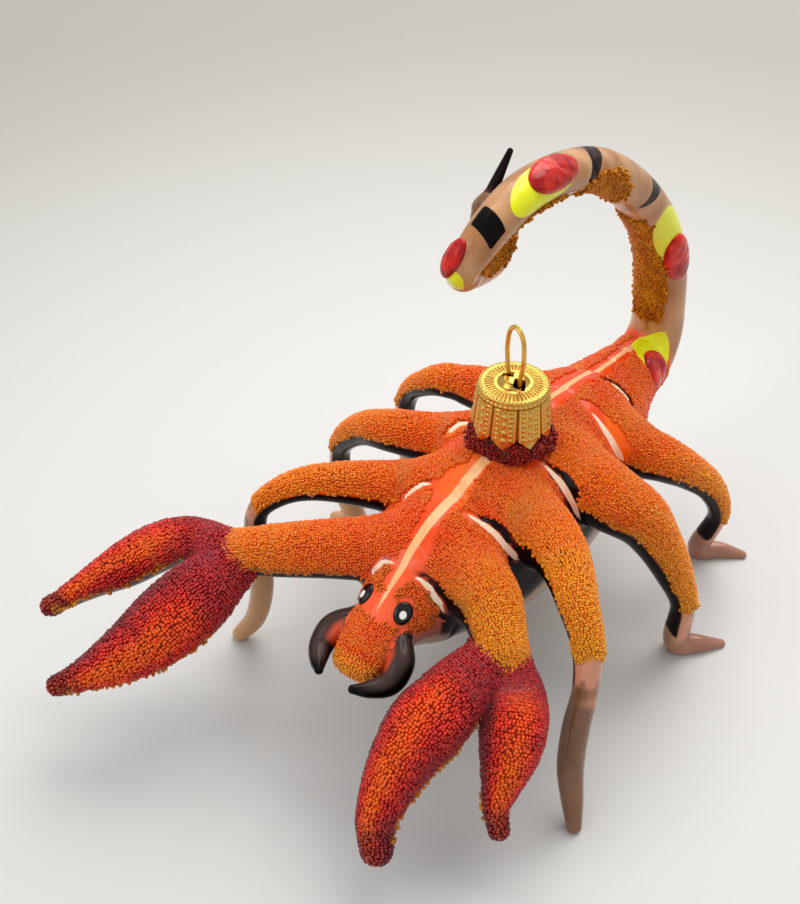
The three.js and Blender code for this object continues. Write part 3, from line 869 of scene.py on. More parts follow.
@dataclass(frozen=True)
class Enamel:
    """Thick glossy drop of enamel with a crazed, uneven surface."""

    name: str
    deep: Colour
    light: Colour
    relief: float
    grain: float

    def material(self) -> Material:
        """The finish as a node material.

        Returns:
            The material.
        """
        shader = Shader(self.name)
        cells = shader.ramp(shader.noise(self.grain, 4.0), 0.35, 0.68)
        shader.to(shader.blend(cells, self.deep, self.light), "Base Color")
        shader.rough(1.1, 0.12, 0.26)
        shader.set(IOR=GLASS_IOR, Specular_IOR_Level=0.22, Coat_Weight=0.08, Coat_Roughness=0.06)
        shader.bump(shader.noise(self.grain * 0.8, 3.0), self.relief, 0.8)
        return shader.material


@dataclass(frozen=True)
class EyeEnamel:
    """Glossy black enamel with a white dot, whose distance inside is stored on the mesh."""

    name: str
    soft: float = 0.05  # half width of the dot's edge

    def material(self) -> Material:
        """The finish as a node material.

        Returns:
            The material.
        """
        shader = Shader(self.name)
        dot = shader.ramp(shader.attribute("dot"), -self.soft, self.soft)
        shader.to(shader.blend(dot, Tint.SOOT.value, Tint.WHITE.value), "Base Color")
        shader.rough(0.9, 0.06, 0.14)
        shader.set(IOR=GLASS_IOR, Specular_IOR_Level=0.3, Coat_Weight=0.2, Coat_Roughness=0.04)
        return shader.material


@dataclass(frozen=True)
class GoldMetal:
    """Lacquered gold-coloured metal, with painted shade: darker in the recesses of its embossing
    and near black in the sunk slots.
    """

    name: str
    bright: Colour = srgb(232, 190, 96)
    # colour of the painted shade in the recesses
    deep: Colour = srgb(160, 110, 36)
    roughness: float = 0.22

    def material(self) -> Material:
        """The finish as a node material.

        Returns:
            The material.
        """
        shader = Shader(self.name)
        # painted shade: the colour darkens with the depth of the embossing
        height = shader.ramp(shader.attribute("height"), -0.12, 0.1)
        gold = shader.blend(height, self.deep, self.bright)
        # painted shade: the sunk wire slots turn near black, for the dark holes they stand for
        slot_shade = shader.ramp(shader.attribute("height"), -0.8, -0.3, (1.0, 0.0))
        shader.to(shader.blend(slot_shade, gold, Tint.SOOT.value), "Base Color")
        shader.rough(0.8, self.roughness * 0.7, self.roughness * 1.7, 3.0)
        shader.set(Metallic=1.0)
        shader.bump(shader.noise(0.35, 2.0), 0.02, 0.5)
        return shader.material


@dataclass(frozen=True)
class PaleFloor:
    """Matt pale table top with a painted pool of light: lighter near the object, darkening softly
    far from it.
    """

    # colours of the painted pool of light: lit near the middle, shaded far off
    near: Colour = srgb(207, 207, 206)
    far: Colour = srgb(162, 160, 153)
    start: float = 30.0  # distance from the middle where the painted pool of light begins to fade
    end: float = 300.0

    def material(self) -> Material:
        """The finish as a node material.

        Returns:
            The material.
        """
        shader = Shader("pale_floor")
        where = shader.nodes.new("ShaderNodeTexCoord")
        length = shader.nodes.new("ShaderNodeVectorMath")
        length.operation = "LENGTH"
        shader.links.new(where.outputs["Object"], length.inputs[0])
        # painted light: the floor's colour falls from near to far with distance from the middle
        away = shader.ramp(length.outputs["Value"], self.start * MM, self.end * MM)
        shader.to(shader.blend(away, self.near, self.far), "Base Color")
        shader.set(Roughness=0.6)
        shader.bump(shader.noise(0.8, 2.0), 0.01, 0.2)
        return shader.material


MARKS = ("cream", "pale", "lemon", "brown", "black")


def blank_marks(shape: tuple[int, ...]) -> Values:
    """Distances well outside every brushed mark."""
    return {name: np.full(shape, OUTSIDE) for name in MARKS}


# Beads

@dataclass(frozen=True)
class BeadGrade:
    """Size and spacing of the beads."""

    pitch: float = 0.5
    radius: float = 0.33
    spread: float = 0.1  # of the radius, as a share
    jitter: float = 0.14  # of the places, as a share of the pitch
    lift: float = 0.1  # of the middle over the glass
    lift_spread: float = 0.04
    tone: float = 0.13  # spread of the beads' brightness
    row_step: float = 0.866  # from row to row, as a share of the pitch
    percentile: float = 80  # of the rings' spacing that sets the rows
    sides: int = 6
    slopes: tuple[float, float] = (48, 104)  # of the ball's two rings, in degrees from its top

    def ball(self) -> tuple[Array, Array]:
        """A small ball of two rings and two poles, whose lower half stays in the glue.

        Returns:
            Vertices at radius 1, and triangles.
        """
        slope = np.repeat(np.radians(self.slopes), self.sides)
        turn = np.tile(np.arange(self.sides) * np.pi / (self.sides / 2), 2)
        turn = turn + np.repeat([0, np.pi / self.sides], self.sides)
        across = np.sin(slope)
        ring = np.stack([across * np.cos(turn), across * np.sin(turn), np.cos(slope)], -1)
        quads, triangles = wrapped_grid(2, self.sides)
        faces = np.concatenate([quads[:, [0, 1, 2]], quads[:, [0, 2, 3]], triangles])
        return np.vstack([ring, [[0, 0, 1], [0, 0, -1]]]), faces[:, ::-1]


@dataclass
class BeadCoat:
    """Beads stuck on glass, gathered into one piece."""

    name: str
    grade: BeadGrade
    rng: np.random.Generator
    points: list[Array] = field(default_factory=list)
    normals: list[Array] = field(default_factory=list)
    tints: list[Array] = field(default_factory=list)

    def scatter(self, skin: Skin, reach: float = np.pi) -> Spots:
        """Rows of spots a bead apart, each row half a step from the last, with some jitter.

        Args:
            skin: surface to cover.
            reach: widest turn from the top that matters for the spacing of the rows.

        Returns:
            The spots on the whole skin.
        """
        rows, columns = skin.clear.shape
        grade = self.grade
        used = np.abs(skin.form.turn()) <= reach
        gaps = np.linalg.norm(np.diff(skin.points[:, used], axis=0), axis=2)
        place = np.concatenate([[0], np.cumsum(np.percentile(gaps, grade.percentile, axis=1))])
        ring = np.linalg.norm(np.roll(skin.points, -1, 1) - skin.points, axis=2).sum(1)
        lines = np.arange(0, place[-1], grade.pitch * grade.row_step)
        at = np.interp(lines, place, np.arange(rows))
        length = np.interp(at, np.arange(rows), ring)
        count = np.maximum(3, np.round(length / grade.pitch)).astype(int)
        line = np.repeat(np.arange(len(lines)), count)
        order = np.arange(count.sum()) - np.repeat(np.cumsum(count) - count, count)
        shift = self.rng.normal(0, grade.jitter, (2, len(line)))
        start = self.rng.uniform(0, 1, len(lines))[line]
        row = np.clip(at[line] + shift[0] * np.gradient(at)[line], 0, rows - 1.001)
        column = (order + 0.5 * (line % 2) + shift[1] + start) / count[line] * columns
        return skin.sample(row, column)

    def settle(self, spots: Spots, inside: Array, ragged: float,
               sunk: float) -> tuple[Array, Array]:
        """Chooses the spots inside an edge that is not quite even.

        Args:
            spots: the spots.
            inside: their distances inside the edge.
            ragged: spread of the edge.
            sunk: depth in other glass from which spots are hidden.

        Returns:
            Which spots are kept, and their distances inside the uneven edge.
        """
        inside = inside + self.rng.normal(0, ragged, len(inside))
        keep = (inside > 0) & (spots.clear > -sunk)
        return keep, inside[keep]

    def add(self, spots: Spots, tints: Array) -> None:
        """Takes spots with their colours.

        Args:
            spots: where the beads go.
            tints: a colour for each.
        """
        self.points.append(spots.points)
        self.normals.append(spots.normals)
        self.tints.append(tints)

    def stray(self, spots: Spots, tints: Array, edge: Array, share: float) -> None:
        """Sets a second bead on some spots, as along the edges of a dipped coat.

        Args:
            spots: the spots.
            tints: their colours.
            edge: which spots lie at the edge.
            share: share of them that gets a second bead.
        """
        spots, tints = spots.kept(edge), tints[edge]
        pick = self.rng.uniform(size=len(tints)) < share
        raised = spots.kept(pick)
        raised.points = raised.points + raised.normals * self.grade.radius * 0.9
        self.add(raised, tints[pick])

    def make(self, material: Material, slot: str, replaces: Sequence[str] = ()) -> None:
        """Makes the beads: each is the same ball, moved, sized and tinted.

        Args:
            material: finish of the beads.
            slot: material slot of the record.
            replaces: CAD nodes that the coat stands for.
        """
        gathered = (self.points, self.normals, self.tints)
        points, normals, tints = (np.concatenate(values) for values in gathered)
        grade, rng, n = self.grade, self.rng, len(points)
        ball, faces = grade.ball()
        size = grade.radius * np.clip(1 + grade.spread * rng.normal(size=n), 0.75, 1.25)
        lift = grade.lift + grade.lift_spread * rng.normal(size=n)
        middle = points + normals * lift[:, None]
        east = unit(np.cross(normals, unit(rng.normal(size=(n, 3)))))
        axes = np.stack([east, np.cross(normals, east), normals], 1)
        vertices = (middle[:, None] + size[:, None, None] * (ball @ axes)).reshape(-1, 3)
        triangles = (faces[None] + (np.arange(n) * len(ball))[:, None, None]).reshape(-1, 3)
        shade = np.clip(1 + grade.tone * rng.normal(size=(n, 1)), 0.55, 1.45)
        colours = np.repeat(np.clip(tints * shade, 0, 1), len(ball), axis=0)
        no_quads = np.zeros((0, 4), int)
        piece = Piece(self.name, vertices, no_quads, triangles, colours={"bead": colours})
        piece.make(material, "scorpion", slot, replaces)


# Markings of the back

@dataclass(frozen=True)
class Groove:
    """A groove between two limbs and its pale line, with distances from the spine as x."""

    places: Curve
    line: tuple[Point, ...]
    crescent: tuple[float, float] = (0.8, 2.3)  # depths of the crescent behind it, from its start
    dark: float = 1.0  # share of dark paint in the crescent

    def ahead(self, x: Array, y: Array) -> Array:
        """Distance in front of the groove, negative behind it."""
        return np.interp(x, *zip(*self.places)) - y

    def from_line(self, points: Array) -> tuple[Array, Array]:
        """Distance to the pale line in space, and the share of its length at the nearest place.

        Args:
            points: places, with distances from the spine as x.

        Returns:
            Distances and shares.
        """
        line = np.array(self.line)
        start, step = line[:-1], np.diff(line, axis=0)
        away = points[..., None, :] - start
        share = np.clip((away * step).sum(-1) / (step**2).sum(-1), 0, 1)
        gap = np.linalg.norm(away - share[..., None] * step, axis=-1)
        nearest = gap.argmin(-1)[..., None]
        length = running_length(line)
        at = length[:-1] + share * np.diff(length)
        gap, at = (np.take_along_axis(values, nearest, -1)[..., 0] for values in (gap, at))
        return gap, at / length[-1]


@dataclass
class Valley:
    """Where points lie about the nearest groove: in front is positive."""

    along: Array  # distance along the spine
    over: Array  # distance from its pale line in space
    share: Array  # nearest place on that line, from 0 to 1
    crescent: Array  # depth of the crescent behind it
    dark: Array  # share of dark paint in the crescent


@dataclass
class Markings:
    """Stripe, grooves, sprayed ground and painted groove shade of the back."""

    left: tuple[Groove, ...] = (
        Groove(((2.4, -32), (3.7, -31.5), (6.8, -31.6), (7.8, -31.4), (8.4, -31.1), (11, -33.5),
                (14, -37)),
               ((2.4, -32, 37.9), (3.7, -31.5, 37.6), (5.5, -31.5, 36.5), (6.8, -31.6, 34.9),
                (7.8, -31.4, 34.2), (8.4, -31.1, 32)), (0.8, 2.1)),
        Groove(((2, -17.7), (4.7, -17.6), (7.5, -17.5), (11, -17.9), (14.7, -18.2)),
               ((3.6, -18.7, 42.7), (5.2, -18.4, 42.1), (7.1, -17.9, 41.2), (8.8, -17.4, 39.9),
                (10.6, -17.1, 37.9), (12, -16.5, 36.3), (12.9, -16.1, 34.8))),
        Groove(((0, 0), (7.5, -0.8), (10.6, -1.2), (13.8, -1.8), (18.2, -2.8)),
               ((7, -0.6, 43.1), (8.6, -0.3, 42.1), (10.8, -0.4, 40.8), (12.8, -0.8, 39.3),
                (14.6, -1.2, 37.5), (15.8, -0.8, 34.6))),
        Groove(((0, 17.2), (4, 17), (9, 16.2), (12.8, 15.6), (16.4, 15)),
               ((6, 17.6, 42.8), (8.2, 17.5, 41.4), (9.9, 17.3, 40), (11.4, 17.2, 38.5),
                (13.1, 16.9, 36.7), (14.7, 16.9, 34.9)), (2.2, 2.6), 0.0),
        Groove(((0, 26.5), (2.5, 28), (5, 29.4), (8.5, 30), (11, 29.6)),
               ((2.5, 28.2, 41.2), (5, 29.5, 40), (8.5, 30.2, 37.6))),
    )
    right: tuple[Groove, ...] = (
        Groove(((1.6, -31.6), (3.6, -32), (4.5, -33), (5, -33.7), (9, -37)),
               ((1.6, -31.6, 38.5), (3.6, -32, 37.9), (4.5, -33, 36.6), (5, -33.7, 35.3))),
        Groove(((4.8, -15.8), (5.8, -15.9), (7, -16.3), (8, -17.9), (8.6, -19.7), (12, -25)),
               ((4.8, -15.8, 42.8), (5.8, -15.9, 42.5), (7, -16.3, 42), (8, -17.9, 41),
                (8.6, -19.7, 39.8))),
        Groove(((9.2, 1.8), (10.9, 1), (11.8, -1.5), (14, -5)),
               ((8.4, 2, 43), (9.2, 1.8, 42.7), (10.9, 1, 42.2), (11.8, -1.5, 41.2))),
        Groove(((0, 16.5), (4, 16), (9, 15.5), (14, 14.6)),
               ((6, 16.2, 42.8), (9, 15.6, 41.2), (11.5, 15.2, 39.4))),
        Groove(((0, 26.5), (2.5, 28), (5, 29.4), (8.5, 30), (11, 29.6)),
               ((2.5, 28.2, 41.2), (5, 29.5, 40), (8.5, 30.2, 37.6))),
    )
    bare_left: Curve = (
        (-32, 3.2), (-28.7, 2.9), (-22.5, 1.3), (-20, 2), (-17.7, 2.5), (-13.4, 1.4), (-10, 1.2),
        (8, 2), (14, 2.6), (24, 2.2), (36, 1.7), (46, 1.6))
    bare_right: Curve = (
        (-36, 0.8), (-29, 1), (-22.5, 2.4), (-19, 3.3), (-15, 4.8), (-12, 4.6), (-9, 2.5), (8, 2.4),
        (14, 3.2), (24, 2.4), (36, 1.7), (46, 1.6))
    stripe: Curve = (
        (-39.2, -0.05), (-37, 0.28), (-32, 0.6), (-24, 0.85), (-12, 1.0), (-4, 1.1), (9, 0.6),
        (24, 0.5), (36, 0.5), (60, 0.5))
    line_halves: tuple[float, float] = (0.58, 0.46)  # half widths of the lines, left and right
    crease_shade_starts: tuple[float, float] = (10.5, 16.0)  # where painted shade begins deep in the grooves, left and right
    bead_margin: float = 0.95  # from a pale line to the beads in front of it
    right_margin: float = 0.95  # from a pale line to the beads behind it, on the right
    stripe_low: float = 29.0  # height where the stripe ends on the snout

    def valley(self, points: Array) -> Valley:
        """Where points lie about the nearest groove of the same side.

        Args:
            points: places on the back.

        Returns:
            Distances from the groove and from its pale line.
        """
        spine = np.abs(points[..., 0])
        folded = np.concatenate([spine[..., None], points[..., 1:]], -1)
        sides = []
        for grooves in (self.left, self.right):
            gaps = np.stack([groove.ahead(spine, points[..., 1]) for groove in grooves])
            lines = [groove.from_line(folded) for groove in grooves]
            stacks = (gaps, *(np.stack(values) for values in zip(*lines)))
            nearest = np.abs(gaps).argmin(0)[None]
            gap, off, share = (np.take_along_axis(stack, nearest, 0)[0] for stack in stacks)
            ends = np.array([groove.crescent for groove in grooves])[nearest[0]]
            depth = ends[..., 0] + (ends[..., 1] - ends[..., 0]) * smoothstep(0, 0.5, share)
            dark = np.array([groove.dark for groove in grooves])[nearest[0]]
            sides.append((gap, np.where(gap > 0, off, -off), share, depth, dark))
        left = points[..., 0] >= 0
        return Valley(*(np.where(left, a, b) for a, b in zip(*sides)))

    def cream(self, points: Array) -> Array:
        """Distance inside the cream stripe down the spine, whose edges waver a little.

        Args:
            points: places on the back.

        Returns:
            Distances, positive inside.
        """
        wide = np.interp(points[..., 1], *zip(*self.stripe)) * (1 + 0.06 * ripple(points, 12, 3))
        return np.where(points[..., 2] > self.stripe_low, wide - np.abs(points[..., 0]), OUTSIDE)

    def pale(self, points: Array, valley: Valley) -> Array:
        """Distance inside the pale lines along the grooves, which taper towards both ends.

        Args:
            points: places on the back.
            valley: where they lie about the grooves.

        Returns:
            Distances, positive inside.
        """
        half = np.where(points[..., 0] > 0, *self.line_halves)
        taper = smoothstep(-0.2, 0.45, valley.share) * (1 - 0.6 * smoothstep(0.85, 1, valley.share))
        return half * taper - np.abs(valley.over)

    def brushed(self, points: Array, valley: Valley) -> Values:
        """Distances inside the stripe and inside the pale lines."""
        return {"cream": self.cream(points), "pale": self.pale(points, valley)}

    def shade(self, points: Array, valley: Valley) -> Array:
        """Share of dark plum: painted crescents on the left, thin lines on the right, and painted
        shade deep in the grooves.

        Args:
            points: places on the back.
            valley: where they lie about the grooves.

        Returns:
            Shares from 0 to 1.
        """
        x, left = np.abs(points[..., 0]), points[..., 0] > 0
        crescent = smoothstep(-valley.crescent - 0.4, -valley.crescent, valley.over)
        crescent = crescent * fade(-0.6, -0.4, valley.over) * smoothstep(2.0, 3.4, x)
        thin = smoothstep(-0.9, -0.7, valley.over) * fade(-0.42, -0.3, valley.over)
        thin = thin * smoothstep(0, 0.3, valley.share)
        # painted shade: dark plum deep in the grooves, further from the spine, where the limbs meet
        start = np.where(left, *self.crease_shade_starts)
        deep = smoothstep(start, start + 3, x) * fade(1.4, 2.8, np.abs(valley.along + 0.8))
        deep = deep * fade(-0.1, 0.5, valley.along)
        shares = np.maximum(np.where(left, crescent, 0.8 * thin), deep)
        return np.clip(shares, 0, 1) * valley.dark

    def ground(self, points: Array) -> Array:
        """Sprayed ground of the back: bright orange beside the stripe, flame red further out.

        Args:
            points: places on the back.

        Returns:
            Colours.
        """
        x, y = np.abs(points[..., 0]), points[..., 1]
        wave = ripple(points, 14, 5)
        glow = fade(1.5, 6.5, x + 1.2 * wave) * smoothstep(-24, -12, y) * fade(2, 12, y)
        bright = np.clip(0.85 * glow + 0.12 * wave, 0, 1)
        return mix(mix(Tint.FLAME, Tint.BRIGHT_ORANGE, bright), Tint.CORAL, fade(-34, -24, y))

    def ground_and_shade(self, points: Array, valley: Valley) -> Array:
        """Ground of the back with the dark crescents and lines over it, and painted shade deep in
        the grooves.
        """
        return mix(self.ground(points), Tint.PLUM, self.shade(points, valley))

    def beaded(self, points: Array, valley: Valley) -> Array:
        """Distance inside the beaded ground, clear of the stripe's smooth strip and of the grooves.

        Args:
            points: places on the back.
            valley: where they lie about the grooves.

        Returns:
            Distances, positive inside.
        """
        x, left = np.abs(points[..., 0]), points[..., 0] > 0
        curves = (self.bare_left, self.bare_right)
        bare = np.where(left, *(np.interp(points[..., 1], *zip(*curve)) for curve in curves))
        strip = x - bare - 0.3 * ripple(points, 8, 8)
        ahead = valley.over - self.bead_margin
        behind = -valley.over - np.where(left, valley.crescent, self.right_margin)
        groove = np.where(valley.along > 0, ahead, behind) + 3.2 * fade(1.0, 2.6, x)
        return smooth_min(strip, groove, 1.0)

    def beaded_near(self, points: Array, width: float) -> Array:
        """Distance inside the beaded ground, which ends at a width from the spine."""
        ground = self.beaded(points, self.valley(points))
        return np.where(np.abs(points[..., 0]) < width, ground, WELL_INSIDE)


# The animal's parts

BODY_ROWS = (
    (-27, 20, 40.4, 20), (-20, 16.2, 43, 25), (-10, 12, 44.6, 28.4), (2, 9, 45.4, 29.6),
    (14, 8.6, 45.2, 29), (26, 13, 42.6, 25), (36, 20, 40, 18.6), (43, 24, 38, 12.8))
HEAD_ROWS = (
    (-22, 17.5, 42.2, 22), (-30, 20.4, 39.2, 16.4), (-34.5, 22.4, 36.6, 12.6),
    (-38, 23.6, 34.2, 11), (-41.5, 24, 31.8, 10), (-44.4, 23.6, 29.2, 8.4))
FANG_ROWS = (
    (4.6, -38.4, 29.8, 3.6), (6.9, -41.6, 28.6, 4.6), (7, -44.8, 26.9, 4.2), (5.2, -47.9, 27, 2.9),
    (3.4, -50, 27.8, 1.5))
TAIL_ROWS = (
    (0, 42, 31, 13), (0, 52.5, 31.8, 11.8), (0, 56.2, 36, 10.8), (0, 56.3, 42, 10.4),
    (0, 54.5, 52.6, 9.9), (0, 49.6, 62.8, 9.3), (0, 39, 75.2, 8.2), (0, 24, 86.6, 7.4),
    (0, 10.7, 91.7, 7), (0, -1.3, 93.3, 6.8), (0, -9.6, 91.6, 6.3), (-0.4, -13.4, 89.3, 5.7),
    (-1.6, -14.3, 86.5, 5.3), (-3, -11.7, 83.7, 5.3))
BULB_ROWS = (
    (-3, -11.7, 83.7, 5.3), (-4.8, -6, 81, 6.1), (-6.8, 1.2, 79.6, 7.6), (-7.8, 4.2, 82.4, 8.2),
    (-8, 3.2, 85.6, 6.4), (-8, 2.2, 87.6, 3.6))
STING_ROWS = ((-8, 2.2, 87.4, 2.8), (-8, 4.6, 90.4, 1.9), (-8, 8.4, 94.3, 1))
FOOT_FLAT = 0.5  # depth of the flat on the sole of each foot


def foot_rows(rows: Rows) -> list[tuple[float, float, float, float]]:
    """Stations of a foot from x, y and diameter: its sole lies on the ground."""
    return [(x, y, diameter / 2 - FOOT_FLAT, diameter) for x, y, diameter in rows]


def under_beads(turn: Array, flank: Flank, front: float, rear: float) -> Array:
    """Angle in radians inside the edges of a limb's beads, at degrees on its two sides."""
    return np.radians(np.where(turn * flank.value > 0, front, rear)) - np.abs(turn)


@dataclass
class Leg:
    """A leg: beaded over the top, dark below, with a pink ankle and a bare tan foot."""

    name: str
    flank: Flank
    path: Rows
    foot: Rows
    beaded_stations: float
    front_turn: float = 82.0  # degrees that the beads reach down the front side
    rear_turn: float = 106.0
    overlap: float = 0.8  # length of the beads past their last station
    foot_tint: Tint = Tint.BROWN
    ruddy: float = 0.0  # share of red in the beads

    def form(self) -> Form:
        """The leg's glass."""
        return Form.tube(self.name, [*self.path, *foot_rows(self.foot)], sides=72, pitch=0.45)

    def reach(self, turn: Array) -> Array:
        """Angle in radians inside the edges of the beads."""
        return under_beads(turn, self.flank, self.front_turn, self.rear_turn)

    def bead_end(self, form: Form) -> float:
        """Length along the leg where its beads end."""
        return form.arc_at(self.beaded_stations) + self.overlap

    def paint(self, skin: Skin, markings: Markings) -> Paint:
        """Values on the leg's skin: plum below the beads, and a tan foot under a pink ankle.

        Args:
            skin: the leg's surface.
            markings: layout of the back.

        Returns:
            Distances inside the brushed marks, and the ground colour with painted shade deep in the
            grooves.
        """
        points, valley = skin.points, markings.valley(skin.points)
        wave = ripple(points, 5, 17)
        past = skin.arc - self.bead_end(skin.form) + 0.7 * wave
        below = fade(-0.12, 0.06, self.reach(skin.turn) + 0.06 * wave)
        outer = smoothstep(5, 9, np.abs(points[..., 0]))
        colour = mix(markings.ground(points), Tint.BEAD_ORANGE, outer)
        colour = mix(colour, Tint.BEAD_GOLD, smoothstep(-9, -2, past))
        # plum paint below the beads, and from markings.shade dark marks and painted shade deep in
        # the grooves
        colour = mix(colour, Tint.PLUM, np.maximum(below, markings.shade(points, valley)))
        tan = mix(Tint.TAN, Tint.PALE_TAN, clouds(points, 7, 21, 0.4, 0.7))
        tan = mix(tan, self.foot_tint, 0.85 * smoothstep(4.0, 8.0, past + 1.5 * wave))
        bare = smoothstep(-0.2, 1.0, past - 7.0 * below * fade(4, 8, past))
        colour = mix(colour, tan, bare)
        ankle = smoothstep(-0.5, 0.3, past) * fade(4.6, 7.0, past + 1.2 * wave)
        colour = mix(colour, Tint.SALMON, ankle * (1 - below) * 0.8)
        smear = smoothstep(0.15, 0.8, ripple(points, 3.2, 27) + 0.4 * wave)
        colour = mix(colour, Tint.PLUM, 0.6 * ankle * smear)
        return {**markings.brushed(points, valley), "gloss": bare}, {"paint": colour}

    def beads(self, skin: Skin, markings: Markings, coat: BeadCoat) -> None:
        """Covers the top with amber beads, yellower towards the ankle and dull along the edges.

        Args:
            skin: the leg's surface.
            markings: layout of the back.
            coat: where the beads go.
        """
        spots = coat.scatter(skin, np.radians(self.rear_turn))
        end = self.bead_end(skin.form)
        around = self.reach(spots.turn) * skin.form.girth(spots.arc)
        around = around + 0.45 * ripple(spots.points, 3, 23)
        along = end - spots.arc + 0.9 * ripple(spots.points, 4, 29)
        edge = np.minimum(around, along)
        inside = np.minimum(edge, markings.beaded_near(spots.points, 15))
        keep, _ = coat.settle(spots, inside, 0.14, 0.2)
        spots, edge = spots.kept(keep), edge[keep]
        points, out = spots.points, spots.arc / end
        outer = smoothstep(4, 10, np.abs(points[:, 0]))
        tint = mix(Tint.BEAD_RED, Tint.BEAD_ORANGE, clouds(points, 8, 109, outer, 0.3))
        lower = smoothstep(0.25, 0.75, out)
        tint = mix(tint, Tint.BEAD_AMBER, clouds(points, 7, 31, lower, 0.25))
        ripe = smoothstep(0.8, 1.04, out + 0.06 * ripple(points, 5, 37))
        tint = mix(tint, Tint.BEAD_YELLOW, 0.7 * ripe)
        tint = mix(tint, Tint.BEAD_RED, self.ruddy)
        rim = fade(0.2, 1.3, edge)
        tint = mix(tint, Tint.BEAD_GOLD, 0.6 * rim)
        coat.add(spots, tint)
        coat.stray(spots, tint, rim > 0.6, 0.2)


@dataclass(frozen=True)
class FingerPattern:
    """Where a finger's bright streak and dark streak run, as turns in degrees."""

    bright: float
    dark: float


